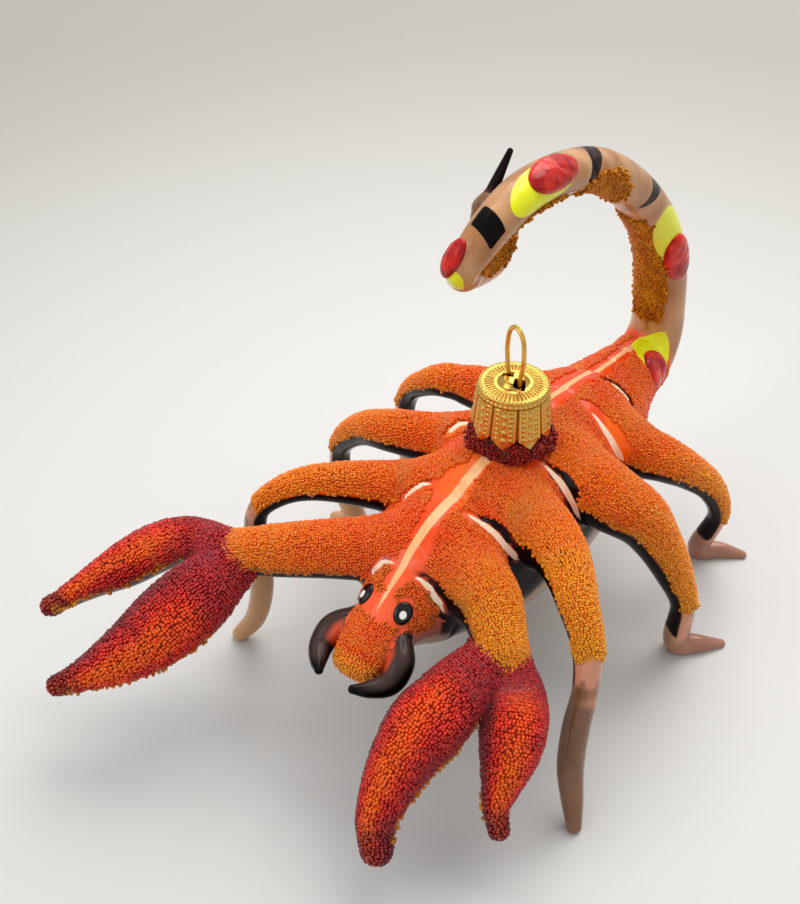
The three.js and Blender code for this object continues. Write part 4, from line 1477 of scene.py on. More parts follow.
@dataclass
class Claw:
    """A claw: a beaded arm and two swollen fingers with red and wine-coloured beads."""

    name: str
    flank: Flank
    arm: Rows
    inner_finger: Rows
    outer_finger: Rows
    inner_pattern: FingerPattern
    outer_pattern: FingerPattern
    front_turn: float = 100.0  # degrees that the arm's beads reach down the front side
    rear_turn: float = 100.0
    finger_turn: float = 112.0  # degrees that the fingers' beads reach down both sides
    finger_tip: float = 2.0  # length at a finger's end that is beaded all round
    ruddy: float = 0.0  # share of red in the arm's beads

    def forms(self) -> list[Form]:
        """Glass of the arm and of both fingers."""
        return [
            Form.tube(f"{self.name}_arm", self.arm, sides=84, pitch=0.45),
            Form.tube(f"{self.name}_inner_finger", self.inner_finger, sides=48, fillet=1.6),
            Form.tube(f"{self.name}_outer_finger", self.outer_finger, sides=44, fillet=1.6),
        ]

    def patterns(self) -> dict[str, FingerPattern]:
        """Patterns of both fingers, by their names."""
        names = (f"{self.name}_inner_finger", f"{self.name}_outer_finger")
        return dict(zip(names, (self.inner_pattern, self.outer_pattern)))

    def reach(self, turn: Array) -> Array:
        """Angle in radians inside the edges of the arm's beads."""
        return under_beads(turn, self.flank, self.front_turn, self.rear_turn)

    def paint_arm(self, skin: Skin, markings: Markings) -> Paint:
        """Values on the arm's skin: the back's ground on top, plum below.

        Args:
            skin: the arm's surface.
            markings: layout of the back.

        Returns:
            Distances inside the brushed marks, and the ground colour with painted shade deep in the
            grooves.
        """
        points, valley = skin.points, markings.valley(skin.points)
        # plum paint below the beads, and from markings.shade dark marks and painted shade deep in
        # the grooves
        dark = np.maximum(fade(-0.08, 0.08, self.reach(skin.turn)), markings.shade(points, valley))
        colour = mix(markings.ground(points), Tint.PLUM, dark)
        return markings.brushed(points, valley), {"paint": colour}

    def paint_finger(self, skin: Skin) -> Paint:
        """Values on a finger's skin: red under the beads, grey plum below.

        Args:
            skin: the finger's surface.

        Returns:
            Distances inside the brushed marks, and the sprayed ground.
        """
        turn = np.degrees(np.abs(skin.turn))
        below = smoothstep(self.finger_turn - 8, self.finger_turn, turn)
        red = mix(Tint.BEAD_MAROON, Tint.BEAD_RUBY, clouds(skin.points, 9, 41, 0.3, 0.4))
        return blank_marks(skin.clear.shape), {"paint": mix(red, Tint.GLASS_GREY, below)}

    def beads_arm(self, skin: Skin, markings: Markings, coat: BeadCoat) -> None:
        """Covers the top of the arm with orange beads.

        Args:
            skin: the arm's surface.
            markings: layout of the back.
            coat: where the beads go.
        """
        spots = coat.scatter(skin, np.radians(self.rear_turn))
        around = self.reach(spots.turn) * skin.form.girth(spots.arc)
        around = around + 0.5 * ripple(spots.points, 3, 43)
        inside = np.minimum(around, markings.beaded_near(spots.points, 12))
        keep, inside = coat.settle(spots, inside, 0.16, 0.25)
        spots = spots.kept(keep)
        points, out = spots.points, spots.arc / skin.form.arc[-1]
        tint = mix(Tint.BEAD_RED, Tint.BEAD_ORANGE, clouds(points, 6, 47, out * 2, 0.3))
        amber = smoothstep(0.35, 0.9, out + 0.1 * ripple(points, 6, 53))
        tint = mix(tint, Tint.BEAD_AMBER, amber)
        tint = mix(tint, Tint.BEAD_RED, self.ruddy)
        rim = fade(0.3, 1.6, inside)
        tint = mix(tint, Tint.BEAD_OLIVE, 0.7 * rim * smoothstep(0.3, 0.5, out))
        coat.add(spots, tint)

    def beads_finger(self, skin: Skin, coat: BeadCoat, pattern: FingerPattern) -> None:
        """Covers a finger with wine and ruby beads, two streaks, and gold along the lower edges.

        Args:
            skin: the finger's surface.
            coat: where the beads go.
            pattern: turns of the streaks.
        """
        reach, end = np.radians(self.finger_turn), skin.form.arc[-1]
        spots = coat.scatter(skin, reach)
        around = (reach - np.abs(spots.turn)) * skin.form.girth(spots.arc)
        around = around + 0.6 * ripple(spots.points, 4, 59)
        inside = np.maximum(around, spots.arc - end + self.finger_tip)
        keep, inside = coat.settle(spots, inside, 0.18, 0.2)
        spots = spots.kept(keep)
        out = spots.arc / end
        wave, fine = ripple(spots.points, 9, 61), ripple(spots.points, 3.5, 63)
        turn = np.degrees(spots.turn)
        off = np.abs(from_nearest(turn, 360, pattern.bright)) + 10 * wave + 7 * fine
        dark = np.abs(from_nearest(turn, 360, pattern.dark)) + 8 * wave + 6 * fine
        streak = fade(4, 40, off) * smoothstep(0.14, 0.4, out + 0.06 * wave)
        wine = np.clip((off - 34) / 46 + 0.25 * fine, 0, 1)
        tint = mix(Tint.BEAD_RUBY, Tint.BEAD_WINE, wine)
        tint = mix(tint, Tint.BEAD_WINE, 0.75 * fade(0.16, 0.34, out + 0.08 * fine))
        tint = mix(tint, Tint.BEAD_RED, streak)
        glow = smoothstep(0.3, 0.62, out + 0.08 * fine)
        tint = mix(tint, Tint.BEAD_ORANGE, 0.5 * streak * glow)
        tint = mix(tint, Tint.BEAD_MAROON, 0.85 * fade(8, 40, dark) * smoothstep(0.12, 0.3, out))
        tint = mix(tint, Tint.BEAD_MAROON, 0.8 * smoothstep(0.8, 0.95, out + 0.05 * fine))
        rim = fade(0.2, 1.2, inside) * smoothstep(0.15, 0.3, out)
        tint = mix(tint, Tint.BEAD_GOLD, 0.85 * rim)
        coat.add(spots, tint)
        coat.stray(spots, tint, rim > 0.6, 0.25)


@dataclass
class Face:
    """Head with its eyes, its cheeks and snout of beads, and two fangs."""

    eye_station: float = 2.4
    eye_turn: float = 40.0
    eye_diameter: float = 3.2
    eye_height: float = 0.6
    eye_margin: float = 0.5  # bare glass round the eye
    dot_diameter: float = 1.12
    dot_shift: float = 0.22  # of the dot towards the snout
    snout_start: float = 3.0  # station
    snout_turn: float = 112.0  # degrees that the snout's beads reach down
    cheek_radius: float = 2.3
    cheek_turn: float = 49.0
    cheek_behind_eye: float = 2.6

    def forms(self) -> list[Form]:
        """Glass of the head and of both fangs."""
        right = [(-x, *rest) for x, *rest in FANG_ROWS]
        return [
            Form.loft("head", HEAD_ROWS, sides=72, pitch=0.45, blunt=0.8),
            Form.tube("left_fang", FANG_ROWS, sides=32, pitch=0.35, fillet=0.9),
            Form.tube("right_fang", right, sides=32, pitch=0.35, fillet=0.9),
        ]

    def paint_head(self, skin: Skin, markings: Markings) -> Paint:
        """Values on the head's skin: coral on top, painted shade in mauve down the cheeks, tan and
        slate below.

        Args:
            skin: surface of the head.
            markings: layout of the back.

        Returns:
            Distances inside the brushed marks, and the ground colour with painted shade on the
            cheeks and in the grooves.
        """
        points, valley = skin.points, markings.valley(skin.points)
        turn = np.degrees(np.abs(skin.turn))
        uneven = turn + 4 * ripple(points, 6, 67)
        colour = markings.ground_and_shade(points, valley)
        # painted shade: the lower cheeks darken to mauve by their turn from the top
        colour = mix(colour, Tint.MAUVE, 0.75 * smoothstep(72, 104, uneven))
        behind = smoothstep(0.35, 0.6, -valley.over) * smoothstep(6.2, 7.4, np.abs(points[..., 0]))
        colour = mix(colour, Tint.PLUM, behind)
        colour = mix(colour, Tint.BELLY, smoothstep(104, 118, uneven))
        slate = smoothstep(-31, -28.5, points[..., 1]) * smoothstep(92, 100, turn)
        colour = mix(colour, Tint.SLATE, slate * fade(126, 136, turn))
        return markings.brushed(points, valley), {"paint": colour}

    def paint_fang(self, skin: Skin) -> Paint:
        """Values on a fang's skin: smoky plum with painted light, lighter where the faces point up
        or down and so darker along its outer edges, orange at the root.

        Args:
            skin: the fang's surface.

        Returns:
            Distances inside the brushed marks, and the ground colour with its painted light.
        """
        out = skin.arc / skin.form.arc[-1]
        # painted light: lighter plum where the faces point up or down, as if lit through the glass
        flat = smoothstep(0.35, 0.95, np.abs(skin.normals[..., 2]))
        colour = mix(Tint.SOOT, Tint.SMOKE, flat * fade(0.75, 1, out))
        inward = -skin.normals[..., 0] * np.sign(skin.points[..., 0])
        root = smoothstep(0.2, 0.7, inward) * fade(0.3, 0.6, out)
        return blank_marks(skin.clear.shape), {"paint": mix(colour, Tint.CORAL, 0.8 * root)}

    def beads(self, skin: Skin, markings: Markings, coat: BeadCoat, fangs: Sequence[Form]) -> None:
        """Covers the snout and both cheeks with beads, yellow at the tip of the snout.

        Args:
            skin: surface of the head.
            markings: layout of the back.
            coat: where the beads go.
            fangs: glass that stays bare.
        """
        spots = coat.scatter(skin)
        points, turn = spots.points, np.degrees(np.abs(spots.turn))
        start, end = skin.form.arc_at(self.snout_start), skin.form.arc[-1]
        girth = skin.form.girth(spots.arc)
        below = np.radians(self.snout_turn - turn) * girth
        snout = np.minimum(spots.arc - start + 0.02 * (turn - 40), below)
        from_eye = spots.arc - skin.form.arc_at(self.eye_station)
        down = np.radians(turn - self.cheek_turn) * girth
        cheek = self.cheek_radius - np.hypot((from_eye + self.cheek_behind_eye) * 0.75, down * 0.54)
        cheek = cheek + 0.4 * ripple(points, 3, 69)
        cheek = np.minimum(cheek, markings.valley(points).over - 0.7)
        away = np.hypot(from_eye, np.radians(turn - self.eye_turn) * girth)
        away = away - self.eye_diameter / 2 - self.eye_margin
        free = np.min([fang.distance(points) for fang in fangs], axis=0) - 0.7
        inside = np.min([np.maximum(snout, cheek), away, free], axis=0)
        keep, inside = coat.settle(spots, inside, 0.15, 0.25)
        spots = spots.kept(keep)
        points, out = spots.points, (spots.arc - start) / (end - start)
        tint = mix(Tint.BEAD_RED, Tint.BEAD_ORANGE, clouds(points, 5, 71, 0.5, 0.5))
        tip = smoothstep(0.75, 1.15, out + 0.1 * ripple(points, 4, 70))
        tint = mix(tint, Tint.BEAD_YELLOW, 0.9 * tip)
        tint = mix(tint, Tint.BEAD_OLIVE, 0.5 * fade(0.2, 0.9, inside))
        coat.add(spots, tint)

    def eye(self, skin: Skin, flank: Flank) -> Piece:
        """One eye: a domed black drop, with the distance inside its white dot.

        Args:
            skin: surface of the head.
            flank: side of the eye.

        Returns:
            The piece.
        """
        along, half = skin.form.arc_at(self.eye_station), self.eye_diameter / 2
        half_turn = np.degrees(half / float(skin.form.girth(along)))
        drop = Drop(along, -flank.value * self.eye_turn, half, half_turn, self.eye_height)
        points, poles, east, north = drop.dome(skin)
        dot = self.dot_diameter / 2 - np.hypot(east - self.dot_shift, north)
        return grid_piece(f"eye.{flank.name.lower()}", points, poles, {"dot": dot})


@dataclass
class Drop:
    """A domed oval drop on a skin, with its turns in degrees."""

    along: float  # place along the form
    turn: float
    half_length: float
    half_turn: float
    height: float
    relief: float = 0.0
    rings: int = 14
    columns: int = 48
    under: tuple[float, float] = (0.94, 0.5)  # shares of the two rings underneath
    sink: float = 0.35  # depth of the underside, as a share of the height

    def dome(self, skin: Skin) -> tuple[Array, Array, Array, Array]:
        """Grid of the drop: rings from the crown to the edge and back underneath.

        A ring at share q of the half sizes stands at height times the root of 1 - q to the fourth
        power.

        Args:
            skin: the surface that carries the drop.

        Returns:
            Points, poles, and the distances along and across from the drop's middle.
        """
        share = np.sin(np.linspace(0, np.pi / 2, self.rings + 1)[1:])
        share = np.concatenate([share, self.under])
        rise = np.sqrt(np.maximum(1 - share**4, 0))
        rise[-2:] = -self.sink
        direction = np.arange(self.columns) / self.columns * 2 * np.pi
        q, d = np.meshgrid(share, direction, indexing="ij")
        along, around = self.half_length * q * np.cos(d), self.half_turn * q * np.sin(d)
        spots = skin.at((self.along + along).ravel(), (self.turn + around).ravel())
        lift = np.broadcast_to(rise[:, None] * self.height, q.shape).copy()
        grain = ripple(spots.points, 1.6, 73).reshape(q.shape)
        lift[:-2] += self.relief * rise[:-2, None] * grain[:-2]
        points = (spots.points + spots.normals * lift.reshape(-1, 1)).reshape(*q.shape, 3)
        crown = skin.at(np.array([self.along]), np.array([self.turn]))
        poles = np.concatenate([
            crown.points + crown.normals * self.height,
            crown.points - crown.normals * self.sink * self.height,
        ])
        return points, poles, along, np.radians(around) * float(skin.form.girth(self.along))


@dataclass(frozen=True)
class Patch:
    """An oval on the tail: middle along it, middle turn in degrees, half length and half turn."""

    along: float
    turn: float
    half_length: float
    half_turn: float
    power: float = 2.0  # 2 for an oval, more for squarer corners

    def inside(self, arc: Array, turn: Array, girth: Array) -> Array:
        """Distance inside the oval, from the oval's own measure times its half width.

        Args:
            arc: lengths along the tail.
            turn: turns in radians.
            girth: half widths of the tail.

        Returns:
            Distances, positive inside.
        """
        far = np.abs((arc - self.along) / self.half_length)
        wide = np.abs(from_nearest(np.degrees(turn), 360, self.turn) / self.half_turn)
        share = (far**self.power + wide**self.power) ** (1 / self.power)
        return (1 - share) * np.minimum(self.half_length, np.radians(self.half_turn) * girth)


@dataclass(frozen=True)
class Disc:
    """A brushed oval laid on the glass along one direction."""

    middle: Point
    face: Point  # direction that it is laid along
    axis: Point  # its longer axis
    halves: tuple[float, float]
    depth: float  # how deep below its middle the glass still takes it

    def inside(self, points: Array) -> Array:
        """Distance inside the oval as seen along its direction.

        Args:
            points: places on the glass.

        Returns:
            The oval's own measure times its half width, positive inside.
        """
        away, face = points - np.array(self.middle), unit(np.array(self.face))
        long = unit(np.array(self.axis) - face * np.dot(self.axis, face))
        across = np.cross(face, long)
        share = np.hypot(away @ long / self.halves[0], away @ across / self.halves[1])
        return np.where(away @ face > -self.depth, (1 - share) * min(self.halves), OUTSIDE)


@dataclass(frozen=True)
class Band:
    """A brushed band round part of the tail, with its turns in degrees."""

    first: float  # lengths along the tail where it starts and ends
    last: float
    slant: float  # length that it climbs in a quarter turn
    turn: float
    half_turn: float
    taper: float = 0.0  # share of its width that one end loses

    def inside(self, arc: Array, turn: Array, girth: Array) -> Array:
        """Distance inside the band, whose width shrinks by its taper towards one end.

        Args:
            arc: lengths along the tail.
            turn: turns in radians.
            girth: half widths of the tail.

        Returns:
            Distances, positive inside.
        """
        off = from_nearest(np.degrees(turn), 360, self.turn)
        middle = (self.first + self.last) / 2 + self.slant * off / 90
        narrow = 1 - self.taper * np.clip(-off / self.half_turn, 0, 1)
        across = (self.last - self.first) / 2 * narrow - np.abs(arc - middle)
        return np.minimum(across, np.radians(self.half_turn - np.abs(off)) * girth)


def deepest(marks: Iterable[Patch | Band], where: Skin | Spots, girth: Array) -> Array:
    """Greatest distance inside any of the marks."""
    return np.max([mark.inside(where.arc, where.turn, girth) for mark in marks], axis=0)


@dataclass
class Tail:
    """Tail, bulb and sting, with brushed bands, lemon ovals, red drops and gold beads."""

    base_oval: Disc = Disc(
        (5.2, 47.0, 35.4), (0.74, 0.12, 0.66), (-0.42, 0.84, 0.34), (6.6, 4.7), 4.0)
    ovals: tuple[Patch, ...] = (
        Patch(46, 82, 9.5, 54), Patch(103.4, 124, 8.6, 60), Patch(123.4, 152, 1.8, 44))
    black_bands: tuple[Band, ...] = (Band(113.9, 117.3, -1.2, 157, 52),)
    brown_bands: tuple[Band, ...] = (
        Band(84.9, 89.1, -3.0, 150, 75, 0.5), Band(58.9, 63.7, -3.0, 128, 88, 0.95))
    drops: tuple[tuple[str, Drop], ...] = (
        ("tail_base_jewel", Drop(5.0, 60, 4.0, 36, 0.9, 0.1)),
        ("tail_rear_jewel", Drop(39, 78, 6.6, 40, 1.0, 0.12)),
        ("tail_top_jewel", Drop(100.3, 138, 6.3, 50, 1.0, 0.14)),
        ("tail_tip_jewel", Drop(121, 200, 2.5, 42, 0.8, 0.1)),
    )
    bead_patches: tuple[tuple[str, Patch], ...] = (
        ("tail_rear_beads", Patch(40.5, -12, 19, 54, 4.0)),
        ("tail_top_beads", Patch(80.6, 26, 8.6, 78, 3.0)),
        ("tail_front_beads", Patch(102.5, -6, 9.0, 64, 3.0)),
    )
    bulb_patch: Patch = Patch(8, 68, 7.5, 26)
    root_length: float = 17.0  # of the root, which has the ground of the back

    def forms(self) -> list[Form]:
        """Glass of the tail, of the bulb and of the sting."""
        return [
            Form.tube("tail", TAIL_ROWS, sides=64, pitch=0.5),
            Form.tube("sting_bulb", BULB_ROWS, sides=48, pitch=0.5, fillet=0.8),
            Form.tube("sting", STING_ROWS, sides=24, pitch=0.35, fillet=0.8),
        ]

    def paint(self, skin: Skin, markings: Markings) -> Paint:
        """Values on the tail's skin: tan with brushed marks, and the back's ground with its painted
        groove shade at its root.

        Args:
            skin: surface of the tail.
            markings: layout of the back.

        Returns:
            Distances inside the brushed marks, and the ground colour with painted groove shade at
            the root.
        """
        points, arc, girth = skin.points, skin.arc, skin.form.girth(skin.arc)
        turn = np.degrees(np.abs(skin.turn))
        wave = ripple(points, 9, 79)
        tan = mix(Tint.TAN, Tint.PALE_TAN, np.clip(0.5 + 0.7 * wave, 0, 1))
        # the root's ground carries the painted shade of the grooves
        root = markings.ground_and_shade(points, markings.valley(points))
        root_end = self.root_length - 0.06 * turn + 2 * wave
        colour = mix(root, tan, smoothstep(-3, 2.5, arc - root_end))
        colour = mix(colour, Tint.BELLY, smoothstep(130, 150, turn) * fade(4, 12, arc))
        glued = deepest([patch for _, patch in self.bead_patches], skin, girth)
        colour = mix(colour, Tint.BEAD_OLIVE, smoothstep(-0.2, 0.4, glued))
        stripe = 0.75 * smoothstep(15, 12.5, arc) + 0.05 - np.abs(skin.turn) * girth
        cream = np.where(arc < 14, stripe, OUTSIDE)
        cream = np.maximum(cream, np.where(arc < 4, markings.cream(points), OUTSIDE))
        floats = {
            "cream": cream,
            "lemon": np.maximum(deepest(self.ovals, skin, girth), self.base_oval.inside(points)),
            "black": deepest(self.black_bands, skin, girth),
            "brown": deepest(self.brown_bands, skin, girth),
        }
        return floats, {"paint": colour}

    def paint_bulb(self, skin: Skin) -> Paint:
        """Values on the bulb's skin: pearly tan, brown towards the sting.

        Args:
            skin: the bulb's surface.

        Returns:
            Distances inside the brushed marks, and the sprayed ground.
        """
        colour = mix(Tint.TAN, Tint.PALE_TAN, clouds(skin.points, 7, 83, 0.4, 0.6))
        brown = 0.8 * smoothstep(0.7, 0.9, skin.arc / skin.form.arc[-1])
        return blank_marks(skin.clear.shape), {"paint": mix(colour, Tint.BROWN, brown)}

    def paint_sting(self, skin: Skin) -> Paint:
        """Values on the sting's skin: plum glass, lighter at the root."""
        dark = smoothstep(0.0, 0.35, skin.arc / skin.form.arc[-1])
        return blank_marks(skin.clear.shape), {"paint": mix(Tint.MAUVE, Tint.PLUM, dark)}

    def beads(self, skin: Skin, coat: BeadCoat, patch: Patch) -> None:
        """Covers one patch of the tail or of the bulb with gold beads.

        Args:
            skin: surface of the tail or of the bulb.
            coat: where the beads go.
            patch: the patch.
        """
        spots = coat.scatter(skin)
        girth = skin.form.girth(spots.arc)
        inside = deepest([patch], spots, girth) + 0.6 * ripple(spots.points, 4, 89)
        if skin.form.name == "tail":
            inside = np.minimum(inside, -deepest(self.ovals, spots, girth) - 0.2)
        keep, inside = coat.settle(spots, inside, 0.2, 0.2)
        spots = spots.kept(keep)
        tint = mix(Tint.BEAD_HONEY, Tint.BEAD_GOLD, clouds(spots.points, 4, 97, 0.4, 0.4))
        coat.add(spots, tint)
        coat.stray(spots, tint, fade(0.2, 1.0, inside) > 0.5, 0.3)

    def beads_base(self, skin: Skin, markings: Markings, coat: BeadCoat) -> None:
        """Carries the beads of the back a little way up both sides of the tail's root.

        Args:
            skin: surface of the tail.
            markings: layout of the back.
            coat: where the beads go.
        """
        spots = coat.scatter(skin)
        points, girth = spots.points, skin.form.girth(spots.arc)
        turn = np.degrees(np.abs(spots.turn))
        inside = np.minimum(12.5 - 0.03 * turn - spots.arc, np.radians(turn - 22) * girth)
        inside = np.minimum(inside, np.radians(122 - turn) * girth)
        base = self.drops[0][1]
        drop = Patch(base.along, base.turn, base.half_length + 0.8, base.half_turn + 8)
        bare = np.maximum(self.base_oval.inside(points), deepest([drop], spots, girth))
        inside = np.minimum(inside, -bare - 0.3) + 0.5 * ripple(points, 4, 101)
        inside = np.minimum(inside, markings.beaded(points, markings.valley(points)))
        keep, _ = coat.settle(spots, inside, 0.16, 0.25)
        spots = spots.kept(keep)
        orange = clouds(spots.points, 5, 103, 0.4, 0.5)
        coat.add(spots, mix(Tint.BEAD_RED, Tint.BEAD_ORANGE, orange))


@dataclass
class Torso:
    """Blown body with its neck, and the beads of the back."""

    neck_radius: float = 5.2
    neck_bore: float = 4.0
    neck_rim: float = 56.0
    neck_foot: float = 42.0
    collar_radius: float = 7.4
    collar_low: float = 44.8
    collar_bend: float = 46.0
    collar_top: float = 49.4
    collar_top_radius: float = 5.3
    bead_low: float = 36.0  # height where the beads of the back end
    bead_drop: float = 8.0  # how much lower they reach at the rear

    def form(self) -> Form:
        """The body's glass."""
        return Form.loft("body_shell", BODY_ROWS, sides=160, pitch=0.55, blunt=0.3)

    def paint(self, skin: Skin, markings: Markings) -> Paint:
        """Values on the body's skin: flame on the back, painted shade in plum on the flanks under
        the limbs, tan below.

        Args:
            skin: the body's surface.
            markings: layout of the back.

        Returns:
            Distances inside the brushed marks, and the ground colour with painted shade on the
            flanks and in the grooves.
        """
        points, valley = skin.points, markings.valley(skin.points)
        z = points[..., 2] + 1.2 * ripple(points, 9, 107)
        # painted shade: the flanks under the limbs turn dark plum, over the ground with its painted
        # groove shade
        colour = mix(markings.ground_and_shade(points, valley), Tint.PLUM, fade(31.5, 35, z))
        colour = mix(colour, Tint.BELLY, fade(22, 26, z))
        return markings.brushed(points, valley), {"paint": colour}

    def beads(self, skin: Skin, markings: Markings, coats: dict[Flank, BeadCoat]) -> None:
        """Covers both sides of the back with red-orange beads.

        Args:
            skin: the body's surface.
            markings: layout of the back.
            coats: where the beads go.
        """
        for flank, coat in coats.items():
            spots = coat.scatter(skin, np.radians(100))
            spots = spots.kept((spots.points[:, 0] * flank.value > 0) & (spots.clear > -0.25))
            low = self.bead_low - self.bead_drop * smoothstep(18, 28, spots.points[:, 1])
            spots = spots.kept(spots.points[:, 2] > low)
            points = spots.points
            inside = markings.beaded(points, markings.valley(points))
            inside = inside + coat.rng.normal(0, 0.16, len(points))
            neck = np.hypot(points[:, 0], points[:, 1] - NECK_Y) - self.collar_radius - 0.3
            spots = spots.kept(np.minimum(inside, neck) > 0)
            orange = clouds(spots.points, 8, 109, 0.45, 0.5)
            coat.add(spots, mix(Tint.BEAD_RED, Tint.BEAD_ORANGE, orange))

    def turned(self, profile: Rows, columns: int) -> Array:
        """Rings of a profile turned about the neck's axis.

        Args:
            profile: rows of radius and height.
            columns: vertices in a ring.

        Returns:
            Points, as rows by columns by three.
        """
        radius, height = np.array(profile, float).T[..., None]
        turn = np.arange(columns) / columns * 2 * np.pi
        level = np.broadcast_to(height, (len(radius), columns))
        return np.stack([radius * np.cos(turn), NECK_Y + radius * np.sin(turn), level], -1)

    def neck(self) -> Piece:
        """Tube of bare glass under the cap: outer wall, round lip and inner wall.

        Returns:
            The piece: a profile turned about the neck's axis.
        """
        half = (self.neck_radius - self.neck_bore) / 2
        middle = self.neck_bore + half
        lip = self.neck_rim - half
        wall = np.linspace(self.neck_foot, lip, 12)
        outer = [(self.neck_radius, z) for z in wall]
        bend = np.linspace(0, np.pi, 9)
        round_lip = [(middle + half * np.cos(a), lip + half * np.sin(a)) for a in bend]
        inner = [(self.neck_bore, z) for z in wall[::-1]]
        points = self.turned([*outer, *round_lip, *inner], 64)
        poles = np.array([[0, NECK_Y, self.neck_foot - 0.6], [0, NECK_Y, self.neck_foot]])
        colour = np.broadcast_to(Tint.PALE_TAN.array(), points.shape)
        blank = blank_marks(points.shape[:2])
        return grid_piece("glass.neck", points, poles, blank, {"paint": colour})

    def collar(self, coat: BeadCoat) -> None:
        """Heaps wine-coloured beads round the foot of the neck, on a profile turned about its axis.

        Args:
            coat: where the beads go.
        """
        profile = np.array([
            (self.collar_radius, self.collar_low),
            (self.collar_radius, self.collar_bend),
            (self.collar_top_radius, self.collar_top),
        ])
        length = running_length(profile)
        lines = np.arange(0, length[-1], coat.grade.pitch * 0.8)
        radius, height = (np.interp(lines, length, profile[:, i]) for i in (0, 1))
        count = np.round(2 * np.pi * radius / coat.grade.pitch).astype(int)
        line = np.repeat(np.arange(len(lines)), count)
        turn = coat.rng.uniform(0, 2 * np.pi, len(line))
        r = radius[line] + coat.rng.normal(0, 0.2, len(line)) + 0.35 * np.sin(5 * turn)
        z = height[line] + coat.rng.normal(0, 0.2, len(line))
        points = np.stack([r * np.cos(turn), NECK_Y + r * np.sin(turn), z], -1)
        normals = unit(np.stack([np.cos(turn), np.sin(turn), np.full(len(turn), 0.5)], -1))
        blank = np.zeros(len(turn))
        maroon = clouds(points, 3, 113, 0.4, 0.6)
        tint = mix(Tint.BEAD_COLLAR, Tint.BEAD_MAROON, maroon)
        coat.add(Spots(points, normals, blank, blank, blank), tint)


